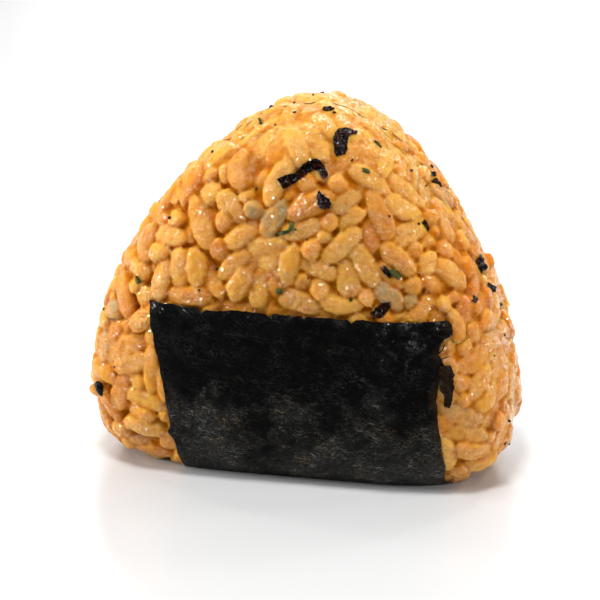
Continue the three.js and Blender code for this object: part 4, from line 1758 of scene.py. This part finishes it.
# %% [markdown]
# ## The lamps
#
# A lamp above and a weak ceiling model the grains, a screen on either side lights the
# flanks, and a backdrop whitens the table. Eight small lamps in a ring stand for the rest
# of the room: they leave sharp sparks on the wet film, where one broad light would lay a
# grey veil over the darkest creases.

# %% The lamps
DOME_LAMPS = 8
DOME_RADIUS = 0.9  # places and sizes of lamps are in metres
DOME_RISES = (36, 56)  # degrees over the horizon, in turn
DOME_TURN = 0.4  # how far the ring is turned, in steps from lamp to lamp
DOME_POWER = 0.68
BODY = (0, 0, 0.03)


def area_light(name, place, toward, size, power):
    lamp = bpy.data.lights.new(name, "AREA")
    lamp.shape = "RECTANGLE"
    lamp.size, lamp.size_y = size
    lamp.energy = power
    made = bpy.data.objects.new(name, lamp)
    bpy.context.collection.objects.link(made)
    made.location = place
    made.rotation_euler = (Vector(toward) - Vector(place)).to_track_quat("-Z", "Y").to_euler()


def dome_place(index):
    turn = 2 * math.pi * (index + DOME_TURN) / DOME_LAMPS
    rise = math.radians(DOME_RISES[index % 2])
    aside = DOME_RADIUS * math.cos(rise)
    return aside * math.cos(turn), aside * math.sin(turn), DOME_RADIUS * math.sin(rise)


lamps = [
    ("ceiling", (0.0, 0.35, 0.8), BODY, (0.5, 0.5), 2.2),
    ("lamp", (-0.03, -0.22, 0.8), BODY, (0.16, 0.16), 4.5),
]
for index in range(DOME_LAMPS):
    lamps.append(("dome_lamp", dome_place(index), BODY, (0.08, 0.08), DOME_POWER))
lamps += [
    ("backdrop", (0.0, 1.4, 0.5), (0, 0, 0.2), (1.0, 0.5), 4.5),
    ("left_screen", (-0.9, -0.15, 0.22), BODY, (0.2, 0.2), 7.0),
    ("right_screen", (0.9, 0.0, 0.22), BODY, (0.2, 0.2), 3.5),
]
for lamp in lamps:
    area_light(*lamp)
print(len(lamps), "lamps,", round(sum(lamp[-1] for lamp in lamps), 1), "watts in all")

# %% [markdown]
# ## The room
#
# The room around is white, but gives little light, so that the shadows keep their depth
# and the wet film mirrors the lamps and not a grey veil. Those two don't go together
# in one background, so its strength depends on the kind of ray: full where the camera
# sees it directly, and weak for everything that it lights.

# %% The room
ROOM_LIGHT = 0.1

world = bpy.data.worlds.new("bright_room")
bpy.context.scene.world = world
world.use_nodes = True
room = world.node_tree
seen_directly = add_node(room, "ShaderNodeLightPath", {}).outputs["Is Camera Ray"]
strength = remap(room, seen_directly, 0, 1, ROOM_LIGHT, 1)
fill_in(room, room.nodes["Background"], {"Color": (1, 1, 1, 1), "Strength": strength})
bpy.context.scene.view_settings.view_transform = "Standard"
print("the room gives", ROOM_LIGHT, "of the light that it shows")

# %% [markdown]
# ## The camera
#
# The camera is a little above and to the right, with a long lens, as food is usually
# taken. It turns about the middle of the body. Where that middle lies in the picture,
# and how many pixels a millimetre takes there, fix its aim and the length of its lens.

# %% The camera
CAMERA_AZIMUTH = 12.5
CAMERA_ELEVATION = 20.0
CAMERA_DISTANCE = 500.0
FARTHEST_SEEN = 20  # metres
PIXELS_PER_MM = 5.9
IMAGE = 600  # pixels across the picture
SENSOR = 36.0
OBJECT_PIXEL = (308.1, 289.0)  # where the middle of the body lies, from the upper left


def table_camera():
    turn, rise = math.radians(CAMERA_AZIMUTH), math.radians(CAMERA_ELEVATION)
    back = Vector((math.sin(turn) * math.cos(rise), -math.cos(turn) * math.cos(rise), math.sin(rise)))
    right = Vector((math.cos(turn), math.sin(turn), 0))
    up = back.cross(right)
    aside = (OBJECT_PIXEL[0] - IMAGE / 2) / PIXELS_PER_MM
    above = (IMAGE / 2 - OBJECT_PIXEL[1]) / PIXELS_PER_MM
    aim = Vector((0, 0, CENTRE_HEIGHT)) - right * aside - up * above
    lens = bpy.data.cameras.new("camera")
    lens.sensor_width = SENSOR
    lens.lens = PIXELS_PER_MM * CAMERA_DISTANCE / IMAGE * SENSOR
    lens.clip_end = FARTHEST_SEEN
    made = bpy.data.objects.new("camera", lens)
    bpy.context.collection.objects.link(made)
    made.location = (aim + back * CAMERA_DISTANCE) * MM
    made.rotation_euler = (-back).to_track_quat("-Z", "Y").to_euler()
    bpy.context.scene.camera = made
    return lens.lens


print("the camera's lens is", round(table_camera()), "mm long")
